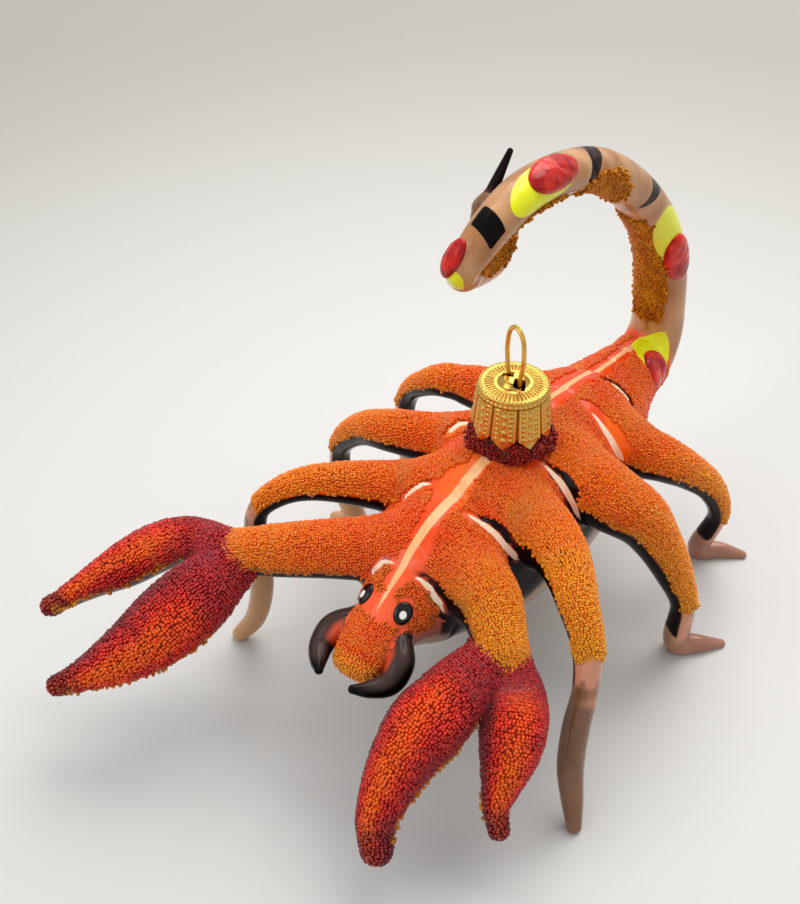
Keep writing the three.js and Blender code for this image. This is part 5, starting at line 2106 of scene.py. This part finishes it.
@dataclass
class Crown:
    """Embossed crown cap and its wire hanger."""

    top: float = 56.3
    wall: float = 0.5
    dome_radius: float = 2.9
    dome_height: float = 0.9
    ceiling: float = 0.9  # depth of the hollow's roof below the top
    slot_sink: float = 1.3
    edge_radius: float = 6.1
    rim: float = 0.45  # radius of the rounded rim
    skirt_radius: float = 7.1
    length: float = 9.6
    petals: int = 9
    petal_point: float = 2.2
    flutes: int = 45
    columns: int = 378
    wire_radius: float = 0.425
    loop_width: float = 4.8
    loop_height: float = 10.2
    loop_turn: float = -23.0
    leg_spacing: float = 3.3
    leg_end: float = 8.2  # depth of the wire's ends below the top
    leg_bend: float = 3.6  # depth where the legs begin to spring apart
    neck_bore: float = 4.0
    leg_gap: float = 0.3  # between the wire's ends and the neck

    def slot_depth(self, x: Array, y: Array) -> Array:
        """Share of the depth of the two diamond slots for the wire.

        Args:
            x: distances from the cap's axis.
            y: distances across them.

        Returns:
            1 in a slot, 0 outside.
        """
        turn = np.radians(self.loop_turn)
        u, v = x * np.cos(turn) + y * np.sin(turn), -x * np.sin(turn) + y * np.cos(turn)
        return fade(1.25, 1.45, np.abs(np.abs(u) - self.leg_spacing / 2) + np.abs(v))

    def top_rings(self, turn: Array) -> list[Rings]:
        """Dome with two slots, fluted ring with a chain of links, and knurled rim.

        Args:
            turn: angles round the cap.

        Returns:
            Rings of each, from the axis outwards.
        """
        top, one = self.top + self.wall, np.ones_like(turn)
        r = np.linspace(0.1, self.dome_radius, 30)[:, None]
        swell = self.dome_height * smoothstep(self.dome_radius, self.dome_radius * 0.55, r)
        hole = self.slot_depth(-r * np.sin(turn), r * np.cos(turn))
        dome = (r * one, top + swell - self.slot_sink * hole, -hole)
        r = np.linspace(self.dome_radius + 0.1, self.edge_radius - self.rim, 26)[:, None]
        share = (r - r[0]) / (r[-1] - r[0])
        fluted = smoothstep(0.08, 0.25, share) * fade(0.7, 0.8, share)
        flute = 0.09 * np.cos(self.flutes * turn) * fluted
        links = np.abs(np.cos(self.flutes / 2 * turn + 0.6))
        chain = 0.13 * links * ridge(share, 0.92, 0.06)
        ring = (r * one, top + flute + chain, flute + chain)
        bend = np.linspace(0, np.pi / 2, 10)[1:, None]
        knurl = 0.08 * np.abs(np.cos(3 * self.petals * turn)) * np.sin(2 * bend)
        r = self.edge_radius - self.rim + self.rim * np.sin(bend)
        z = top - self.rim + self.rim * np.cos(bend)
        return [dome, ring, (r * one + knurl, z + 0.5 * knurl, knurl)]

    def skirt_rings(self, turn: Array) -> list[Rings]:
        """Embossed skirt, whose lower edge is a wave of pointed petals, and its inner wall.

        Args:
            turn: angles round the cap.

        Returns:
            Rings of both, down the outside and up the inside.
        """
        petal = (turn * self.petals / (2 * np.pi) + 0.5) % 1 - 0.5
        start, tip = self.top + self.wall - self.rim, self.top + self.wall - self.length
        low = tip + self.petal_point * np.abs(petal) * 2
        flare = self.skirt_radius - self.edge_radius
        down = np.linspace(0, 1, 76)[1:, None]
        z = start + (low - start) * down
        width = 2 * np.pi * (self.edge_radius + 0.5) / self.petals
        emboss = self.emboss(petal * width, start - z, width, turn)
        outside = (self.edge_radius + flare * ((start - z) / (start - tip)) + emboss, z, emboss)
        z = start - 0.1 + (low - start + 0.1) * down[::-1][::6]
        r = self.edge_radius - self.wall + flare * (start - z) / (start - tip)
        return [outside, (r, z, np.zeros_like(r))]

    def cap(self) -> Piece:
        """The cap as one closed surface: over the top, down the skirt, round its points and back.

        The embossing is a sum of ridges and dots on the radius and on the height.

        Returns:
            The piece, with the height of its embossing.
        """
        turn = np.arange(self.columns) / self.columns * 2 * np.pi
        top = self.top + self.wall
        r = np.linspace(self.edge_radius - self.wall, 0.1, 12)[:, None]
        under = np.where(r < self.dome_radius - self.wall, -self.ceiling, -self.wall)
        one = np.ones_like(turn)
        roof = (r * one, (top + under) * one, 0 * r * one)
        rings = [*self.top_rings(turn), *self.skirt_rings(turn), roof]
        radius, height, relief = (np.concatenate(values) for values in zip(*rings))
        points = np.stack([-radius * np.sin(turn), NECK_Y + radius * np.cos(turn), height], -1)
        poles = np.array([[0, NECK_Y, top + self.dome_height], [0, NECK_Y, top - self.ceiling]])
        return grid_piece("gold.crown_cap", points, poles, {"height": relief})

    def emboss(self, across: Array, down: Array, width: float, turn: Array) -> Array:
        """Embossing of the skirt: seams between the petals, borders beside them, and rows of dots.

        Args:
            across: distance from the middle of the petal.
            down: distance below the rim.
            width: width of a petal.
            turn: angle round the cap.

        Returns:
            Height of the embossing.
        """
        side = width / 2 - np.abs(across)
        seam = -0.24 * ridge(side, 0.0, 0.2) + 0.12 * ridge(side, 0.42, 0.16)
        body = (down > 1.2) & (down < 7.6)
        rows = round_dot(np.abs(across) - 1.25, from_nearest(down, 0.95, 0.3), 0.34, 0.17) * body
        middle = round_dot(across, from_nearest(down, 1.55, 0.9), 0.46, 0.22) * body
        leaf = 0.08 * ridge(np.abs(across) - 0.72 - 0.1 * np.sin(down * 2.2), 0.0, 0.12) * body
        around = from_nearest(turn * self.edge_radius, 2 * np.pi * self.edge_radius / self.flutes)
        row = round_dot(around, down - 0.55, 0.33, 0.2)
        groove = -0.1 * ridge(down, 1.05, 0.12)
        return seam * smoothstep(0.7, 1.3, down) + rows + middle + leaf + row + groove

    def hanger(self) -> Piece:
        """Wire bent to an oval loop, whose two legs spring apart inside the neck.

        Returns:
            The piece: a round section carried along the bent line.
        """
        foot, leg = self.top + self.dome_height + self.wall, self.leg_spacing / 2
        spread = self.neck_bore - self.leg_gap - self.wire_radius
        half = [(spread, self.top - self.leg_end), (leg, self.top - self.leg_bend)]
        half += [(leg, self.top), (leg, foot)]
        bow = ((0.45, 0.25), (0.5, 0.55), (0.36, 0.88))  # shares of the loop's width and height
        half += [(self.loop_width * a, foot + self.loop_height * b) for a, b in bow]
        line = [*((-u, z) for u, z in half), (0.0, foot + self.loop_height), *reversed(half)]
        turn = np.radians(self.loop_turn)
        east, north, wire = np.cos(turn), np.sin(turn), 2 * self.wire_radius
        rows = [(u * east, NECK_Y + u * north, z, wire) for u, z in line]
        form = Form.tube("hanger_wire", rows, sides=20, pitch=0.22, blunt=0.5, cap_rings=4)
        points, _, _, poles = form.shell()
        height = np.full(points.shape[:2], 0.08)
        return grid_piece("gold.hanger_wire", points, poles, {"height": height})


@dataclass(frozen=True)
class Lamp:
    """A square soft lamp: where it hangs, its edge, its power in watts and its colour."""

    name: str
    place: Point
    size: float
    power: float
    tint: Colour


@dataclass
class Studio:
    """Pale floor, soft light from behind on the right, and the camera."""

    back: Point = (0.4503, -0.6197, 0.6428)  # from the target to the camera
    target: Point = (-23.5, 0.0, 30.0)
    distance: float = 265.0
    lens: float = 55.75
    floor_size: float = 4000.0
    aim: Point = (0.0, 0.0, 30.0)  # where the lamps look
    lamps: tuple[Lamp, ...] = (
        Lamp("key_lamp", (-60, 400, 620), 620, 4.7, (1.0, 0.98, 0.95)),
        Lamp("front_lamp", (-260, -420, 420), 380, 1.0, (1.0, 1.0, 1.0)),
    )
    sky: Colour = (0.92, 0.93, 0.92)
    sky_strength: float = 0.75

    def camera(self) -> None:
        """Sets the camera at the photograph's angle."""
        data = bpy.data.cameras.new("camera")
        data.lens = self.lens
        data.clip_start, data.clip_end = 0.01, 20
        camera = bpy.data.objects.new("camera", data)
        bpy.context.scene.collection.objects.link(camera)
        place = np.array(self.target) + OFFSET + self.distance * np.array(self.back)
        camera.location = place * MM
        camera.rotation_mode = "QUATERNION"
        camera.rotation_quaternion = (-Vector(self.back)).to_track_quat("-Z", "Y")
        bpy.context.scene.camera = camera

    def floor(self) -> None:
        """Lays the pale floor, one square about the object."""
        half = self.floor_size / 2 * MM
        mesh = bpy.data.meshes.new("floor")
        corners = [(-half, -half, 0), (half, -half, 0), (half, half, 0), (-half, half, 0)]
        mesh.from_pydata(corners, [], [(0, 1, 2, 3)])
        mesh.materials.append(PaleFloor().material())
        floor = bpy.data.objects.new("floor", mesh)
        bpy.context.scene.collection.objects.link(floor)

    def hang(self, lamp: Lamp) -> None:
        """Hangs a lamp that looks at the object.

        Args:
            lamp: the lamp.
        """
        data = bpy.data.lights.new(lamp.name, "AREA")
        data.size, data.energy, data.color = lamp.size * MM, lamp.power, lamp.tint
        hung = bpy.data.objects.new(lamp.name, data)
        bpy.context.scene.collection.objects.link(hung)
        hung.location = np.array(lamp.place) * MM
        hung.rotation_mode = "QUATERNION"
        look = Vector(self.aim) - Vector(lamp.place)
        hung.rotation_quaternion = look.to_track_quat("-Z", "Y")

    def light(self) -> None:
        """Lights the scene with the lamps and a bright room."""
        for lamp in self.lamps:
            self.hang(lamp)
        world = bpy.data.worlds.new("room")
        world.use_nodes = True
        sky = world.node_tree.nodes["Background"]
        sky.inputs["Color"].default_value = (*self.sky, 1.0)
        sky.inputs["Strength"].default_value = self.sky_strength
        bpy.context.scene.world = world
        bpy.context.scene.view_settings.view_transform = "Standard"


LEGS = (
    Leg("left_front_leg", Flank.LEFT,
        ((3, -8.6, 36.4, 15), (12.5, -9.8, 37, 12), (20, -14, 37.4, 8.8), (26, -19.5, 35.9, 6.6),
         (30.5, -23, 31.3, 5.2), (32.3, -25.5, 25, 4.4), (32.6, -28, 17, 4.7),
         (33.6, -30.3, 10, 4.6), (35.6, -32.2, 4.5, 3.8)),
        ((37.3, -33.9, 2.6),), 4.0, front_turn=72.0, overlap=1.5),
    Leg("left_middle_leg", Flank.LEFT,
        ((3.5, 7.4, 36.6, 15.4), (17.2, 5.2, 36.4, 12.2), (23, 7.8, 32.4, 10.2),
         (26.1, 9.4, 27.6, 8.4), (29.4, 11.1, 20.6, 6.7), (32.1, 12.5, 12.5, 4.8)),
        ((32.4, 12.8, 5), (35.8, 15.5, 3.4), (38.8, 18.5, 1.8)), 5.0, foot_tint=Tint.ROSE),
    Leg("left_rear_leg", Flank.LEFT,
        ((3, 22.6, 35.6, 14), (15, 22.4, 34, 10), (19, 24.7, 32.2, 8.3), (22.6, 29.5, 27.6, 6.7),
         (25.4, 34, 22, 5.3), (26.6, 38, 13, 4)),
        ((24, 38.4, 4.4), (27.4, 41, 3.4), (31.6, 43.2, 1.8)), 5.0, foot_tint=Tint.ROSE),
    Leg("right_front_leg", Flank.RIGHT,
        ((-4, -8.6, 36.2, 14.4), (-11.3, -14.8, 37.6, 9.8), (-19.9, -22.4, 39.9, 7),
         (-25.5, -26.3, 39.3, 5.6), (-29.5, -29, 36.8, 4.6), (-32.2, -30.8, 33, 4),
         (-33, -31.2, 24, 4.3), (-32.6, -31, 14.4, 4.4), (-34.2, -32.1, 5.4, 4)),
        ((-36.8, -33.9, 3),), 4.5, foot_tint=Tint.PALE_TAN, ruddy=0.35),
    Leg("right_middle_leg", Flank.RIGHT,
        ((-3, 7, 36.4, 14.6), (-14.4, 0.4, 37, 9.8), (-22.6, -3.4, 37.6, 7.7), (-30, -2, 33.8, 6.3),
         (-36, -0.4, 27.7, 4.9), (-39, 1.2, 22, 4.2), (-39.8, 2.5, 12, 4.4)),
        ((-37.5, 3.5, 4.6), (-40.5, 3.6, 3.4), (-43, 3.4, 2)),
        4.5, overlap=1.2, foot_tint=Tint.PALE_TAN, ruddy=0.35),
    Leg("right_rear_leg", Flank.RIGHT,
        ((-3, 21, 35.8, 13.6), (-20.3, 17, 36.8, 7.4), (-24.5, 16.1, 36.5, 6.3), (-29.7, 17, 33, 5),
         (-35, 19.5, 27, 4.2), (-37.5, 21, 20, 4.2), (-37.5, 22, 10, 4.4)),
        ((-35.5, 22.5, 4.6), (-38.5, 24.5, 3.4), (-42, 26.5, 1.8)),
        4.5, foot_tint=Tint.PALE_TAN, ruddy=0.35),
)
CLAWS = (
    Claw("left_claw", Flank.LEFT,
         ((2, -23, 35, 14), (7, -24.2, 35.2, 12.8), (13.3, -26.6, 34.6, 11), (16.6, -28.9, 33, 9.4),
          (19.3, -31.2, 31, 8.4)),
         ((18.6, -33, 29.5, 7.4), (17.3, -38.5, 28, 9.6), (16.5, -42.9, 26, 11.3),
          (15.5, -47.3, 24, 11.9), (14.8, -51.4, 21, 10.2), (14.6, -55.7, 17, 8.2),
          (15.2, -59.5, 13, 6.2), (17, -62, 9.8, 4.6)),
         ((21, -31.5, 28, 7.4), (24.4, -34.5, 25.5, 9.2), (26.5, -37.8, 24, 10.1),
          (27.9, -41.2, 21, 9), (28.6, -44.2, 17, 6), (29.1, -46.5, 13.3, 3.6),
          (30.8, -47.8, 10.4, 2.8)),
         FingerPattern(-6, 62), FingerPattern(-4, 72), front_turn=76.0),
    Claw("right_claw", Flank.RIGHT,
         ((-2, -23, 35, 13.8), (-8.6, -28.6, 35.2, 11), (-15.1, -32.9, 34.8, 9.8),
          (-22.7, -37.6, 33.8, 8.8), (-26.3, -40.3, 33.8, 7.6)),
         ((-28, -44, 31, 9), (-29.6, -48.8, 28.6, 12.2), (-31.2, -54.1, 26.4, 12.8),
          (-34, -59.3, 23, 11.2), (-37.9, -64.8, 19.8, 7.6), (-41.6, -69, 17.5, 4.4),
          (-44, -71.4, 16.4, 3)),
         ((-30, -41, 33, 6.4), (-38.1, -42.6, 31.8, 7.4), (-42.4, -45.9, 29.8, 8.4),
          (-45.6, -50.9, 27.8, 7.8), (-49.5, -55.5, 25, 5.5), (-53.1, -59.4, 22, 3.6),
          (-55.4, -61.4, 20.4, 2.9)),
         FingerPattern(-52, 40), FingerPattern(-40, 50), ruddy=0.45),
)


@dataclass
class Scorpion:
    """The whole animal: builds every sub-assembly and dresses it."""

    torso: Torso = field(default_factory=Torso)
    face: Face = field(default_factory=Face)
    tail: Tail = field(default_factory=Tail)
    crown: Crown = field(default_factory=Crown)
    markings: Markings = field(default_factory=Markings)
    grade: BeadGrade = BeadGrade()
    coarse: BeadGrade = BeadGrade(pitch=0.62, radius=0.39, tone=0.2)

    def __post_init__(self) -> None:
        """Gathers the glass and makes the finishes."""
        forms = [self.torso.form(), *self.face.forms(), *self.tail.forms()]
        forms += [form for claw in CLAWS for form in claw.forms()]
        forms += [leg.form() for leg in LEGS]
        self.glass = Glass({form.name: form for form in forms})
        self.count = 0
        cream = Mark("cream", Tint.CREAM, Tint.SALMON)
        pale = Mark("pale", Tint.PALE_CREAM, Tint.CREAM)
        lemon = Mark("lemon", Tint.LEMON, Tint.PALE_LEMON)
        brown = Mark("brown", Tint.PLUM, Tint.MAUVE)
        black = Mark("black", Tint.SOOT, Tint.PLUM)
        self.orange = PaintedGlass("painted_glass", (cream, pale)).material()
        self.pearl = PaintedGlass(
            "pearly_tan_glass", (cream, lemon, brown, black), roughness=0.24,
            streak=(1.6, 1.0, 0.45), mottle=0.34, shine=0.28, coat=0.04).material()
        self.plum = PaintedGlass(
            "smoky_glass", roughness=0.2, mottle=0.1, shine=0.45, coat=0.06).material()
        self.bead = BeadGlass("glass_beads").material()
        self.gold_bead = BeadGlass("gold_glass_beads", shine=0.15).material()
        self.black = EyeEnamel("eye_enamel").material()
        self.red = Enamel(
            "red_enamel_drop", srgb(158, 14, 16), srgb(222, 44, 30), 0.1, 3.0).material()
        self.gold = GoldMetal("gold_metal").material()

    def coat(self, name: str) -> BeadCoat:
        """A new bead coat with random numbers of its own. The fingers have coarser beads.

        Args:
            name: name of the coat.

        Returns:
            The empty coat.
        """
        self.count += 1
        grade = self.coarse if "finger" in name else self.grade
        return BeadCoat(f"beads.{name}", grade, np.random.default_rng(SEED + self.count))

    def show(self, skin: Skin, values: Paint, material: Material, slot: str) -> None:
        """Makes a piece of glass, which stands for the CAD node of the same name.

        Args:
            skin: its surface.
            values: values on the surface.
            material: its finish.
            slot: material slot of the record.
        """
        node = skin.form.name
        piece = skin.piece(f"glass.{node.removesuffix('_shell')}", *values)
        piece.make(material, "scorpion", slot, [node])

    def build_torso(self) -> None:
        """Body, neck, beads of the back and the collar."""
        skin = self.glass.skin("body_shell")
        self.show(skin, self.torso.paint(skin, self.markings), self.orange, "orange_glass")
        self.torso.neck().make(self.pearl, "scorpion", "tan_glass")
        coats = {flank: self.coat(f"back_{flank.name.lower()}") for flank in Flank}
        self.torso.beads(skin, self.markings, coats)
        for flank, coat in coats.items():
            coat.make(self.bead, "amber_beads", [f"{flank.name.lower()}_back_beads"])
        collar = self.coat("neck")
        self.torso.collar(collar)
        collar.make(self.bead, "wine_beads", ["neck_beads"])

    def build_face(self) -> None:
        """Head, eyes and fangs."""
        skin = self.glass.skin("head")
        self.show(skin, self.face.paint_head(skin, self.markings), self.orange, "orange_glass")
        coat = self.coat("snout")
        sides = {flank: flank.name.lower() for flank in Flank}
        fangs = [self.glass.forms[f"{side}_fang"] for side in sides.values()]
        self.face.beads(skin, self.markings, coat, fangs)
        coat.make(self.bead, "amber_beads", ["head_beads"])
        for flank, side in sides.items():
            eye = self.face.eye(skin, flank)
            eye.make(self.black, "scorpion", "black_enamel", [f"{side}_eye"])
            fang = self.glass.skin(f"{side}_fang")
            self.show(fang, self.face.paint_fang(fang), self.plum, "plum_glass")

    def build_claws(self) -> None:
        """Both arms and their fingers."""
        for claw in CLAWS:
            name = f"{claw.name}_arm"
            skin = self.glass.skin(name)
            self.show(skin, claw.paint_arm(skin, self.markings), self.orange, "orange_glass")
            coat = self.coat(name)
            claw.beads_arm(skin, self.markings, coat)
            coat.make(self.bead, "amber_beads", [f"{name}_beads"])
            for name, pattern in claw.patterns().items():
                skin = self.glass.skin(name)
                self.show(skin, claw.paint_finger(skin), self.orange, "orange_glass")
                coat = self.coat(name)
                claw.beads_finger(skin, coat, pattern)
                coat.make(self.bead, "ruby_beads", [f"{name}_beads"])

    def build_legs(self) -> None:
        """All six legs, with flat soles on the ground."""
        for leg in LEGS:
            skin = self.glass.skin(leg.name)
            skin.points[..., 2] = np.maximum(skin.points[..., 2], 0.0)
            skin.poles[:, 2] = np.maximum(skin.poles[:, 2], 0.0)
            self.show(skin, leg.paint(skin, self.markings), self.orange, "orange_glass")
            coat = self.coat(leg.name)
            leg.beads(skin, self.markings, coat)
            coat.make(self.bead, "amber_beads", [f"{leg.name}_beads"])

    def build_tail(self) -> None:
        """Tail with its bulb, sting, drops and bead patches."""
        skin, bulb, sting = (self.glass.skin(name) for name in ("tail", "sting_bulb", "sting"))
        self.show(skin, self.tail.paint(skin, self.markings), self.pearl, "tan_glass")
        self.show(bulb, self.tail.paint_bulb(bulb), self.pearl, "tan_glass")
        self.show(sting, self.tail.paint_sting(sting), self.plum, "plum_glass")
        for name, patch in self.tail.bead_patches:
            coat = self.coat(name.removesuffix("_beads"))
            self.tail.beads(skin, coat, patch)
            coat.make(self.gold_bead, "gold_beads", [name])
        coat = self.coat("sting_bulb")
        self.tail.beads(bulb, coat, self.tail.bulb_patch)
        coat.make(self.gold_bead, "gold_beads")
        base = self.coat("tail_base")
        self.tail.beads_base(skin, self.markings, base)
        base.make(self.bead, "amber_beads")
        for name, drop in self.tail.drops:
            points, poles, _, _ = drop.dome(skin)
            piece = grid_piece(f"enamel.{name}", points, poles)
            piece.make(self.red, "scorpion", "red_enamel", [name])

    def build_crown(self) -> None:
        """Cap and hanger."""
        self.crown.cap().make(self.gold, "cap", "gold_metal", ["crown_cap"])
        self.crown.hanger().make(self.gold, "hanger", "gold_metal", ["hanger_wire"])


def main() -> None:
    """Builds the studio and the animal."""
    logging.basicConfig(level=logging.INFO, format="%(name)s: %(message)s")
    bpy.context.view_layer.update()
    studio = Studio()
    studio.camera()
    studio.floor()
    studio.light()
    animal = Scorpion()
    animal.build_torso()
    animal.build_face()
    animal.build_claws()
    animal.build_legs()
    animal.build_tail()
    animal.build_crown()
    bpy.context.view_layer.update()


if __name__ == "__main__":
    main()
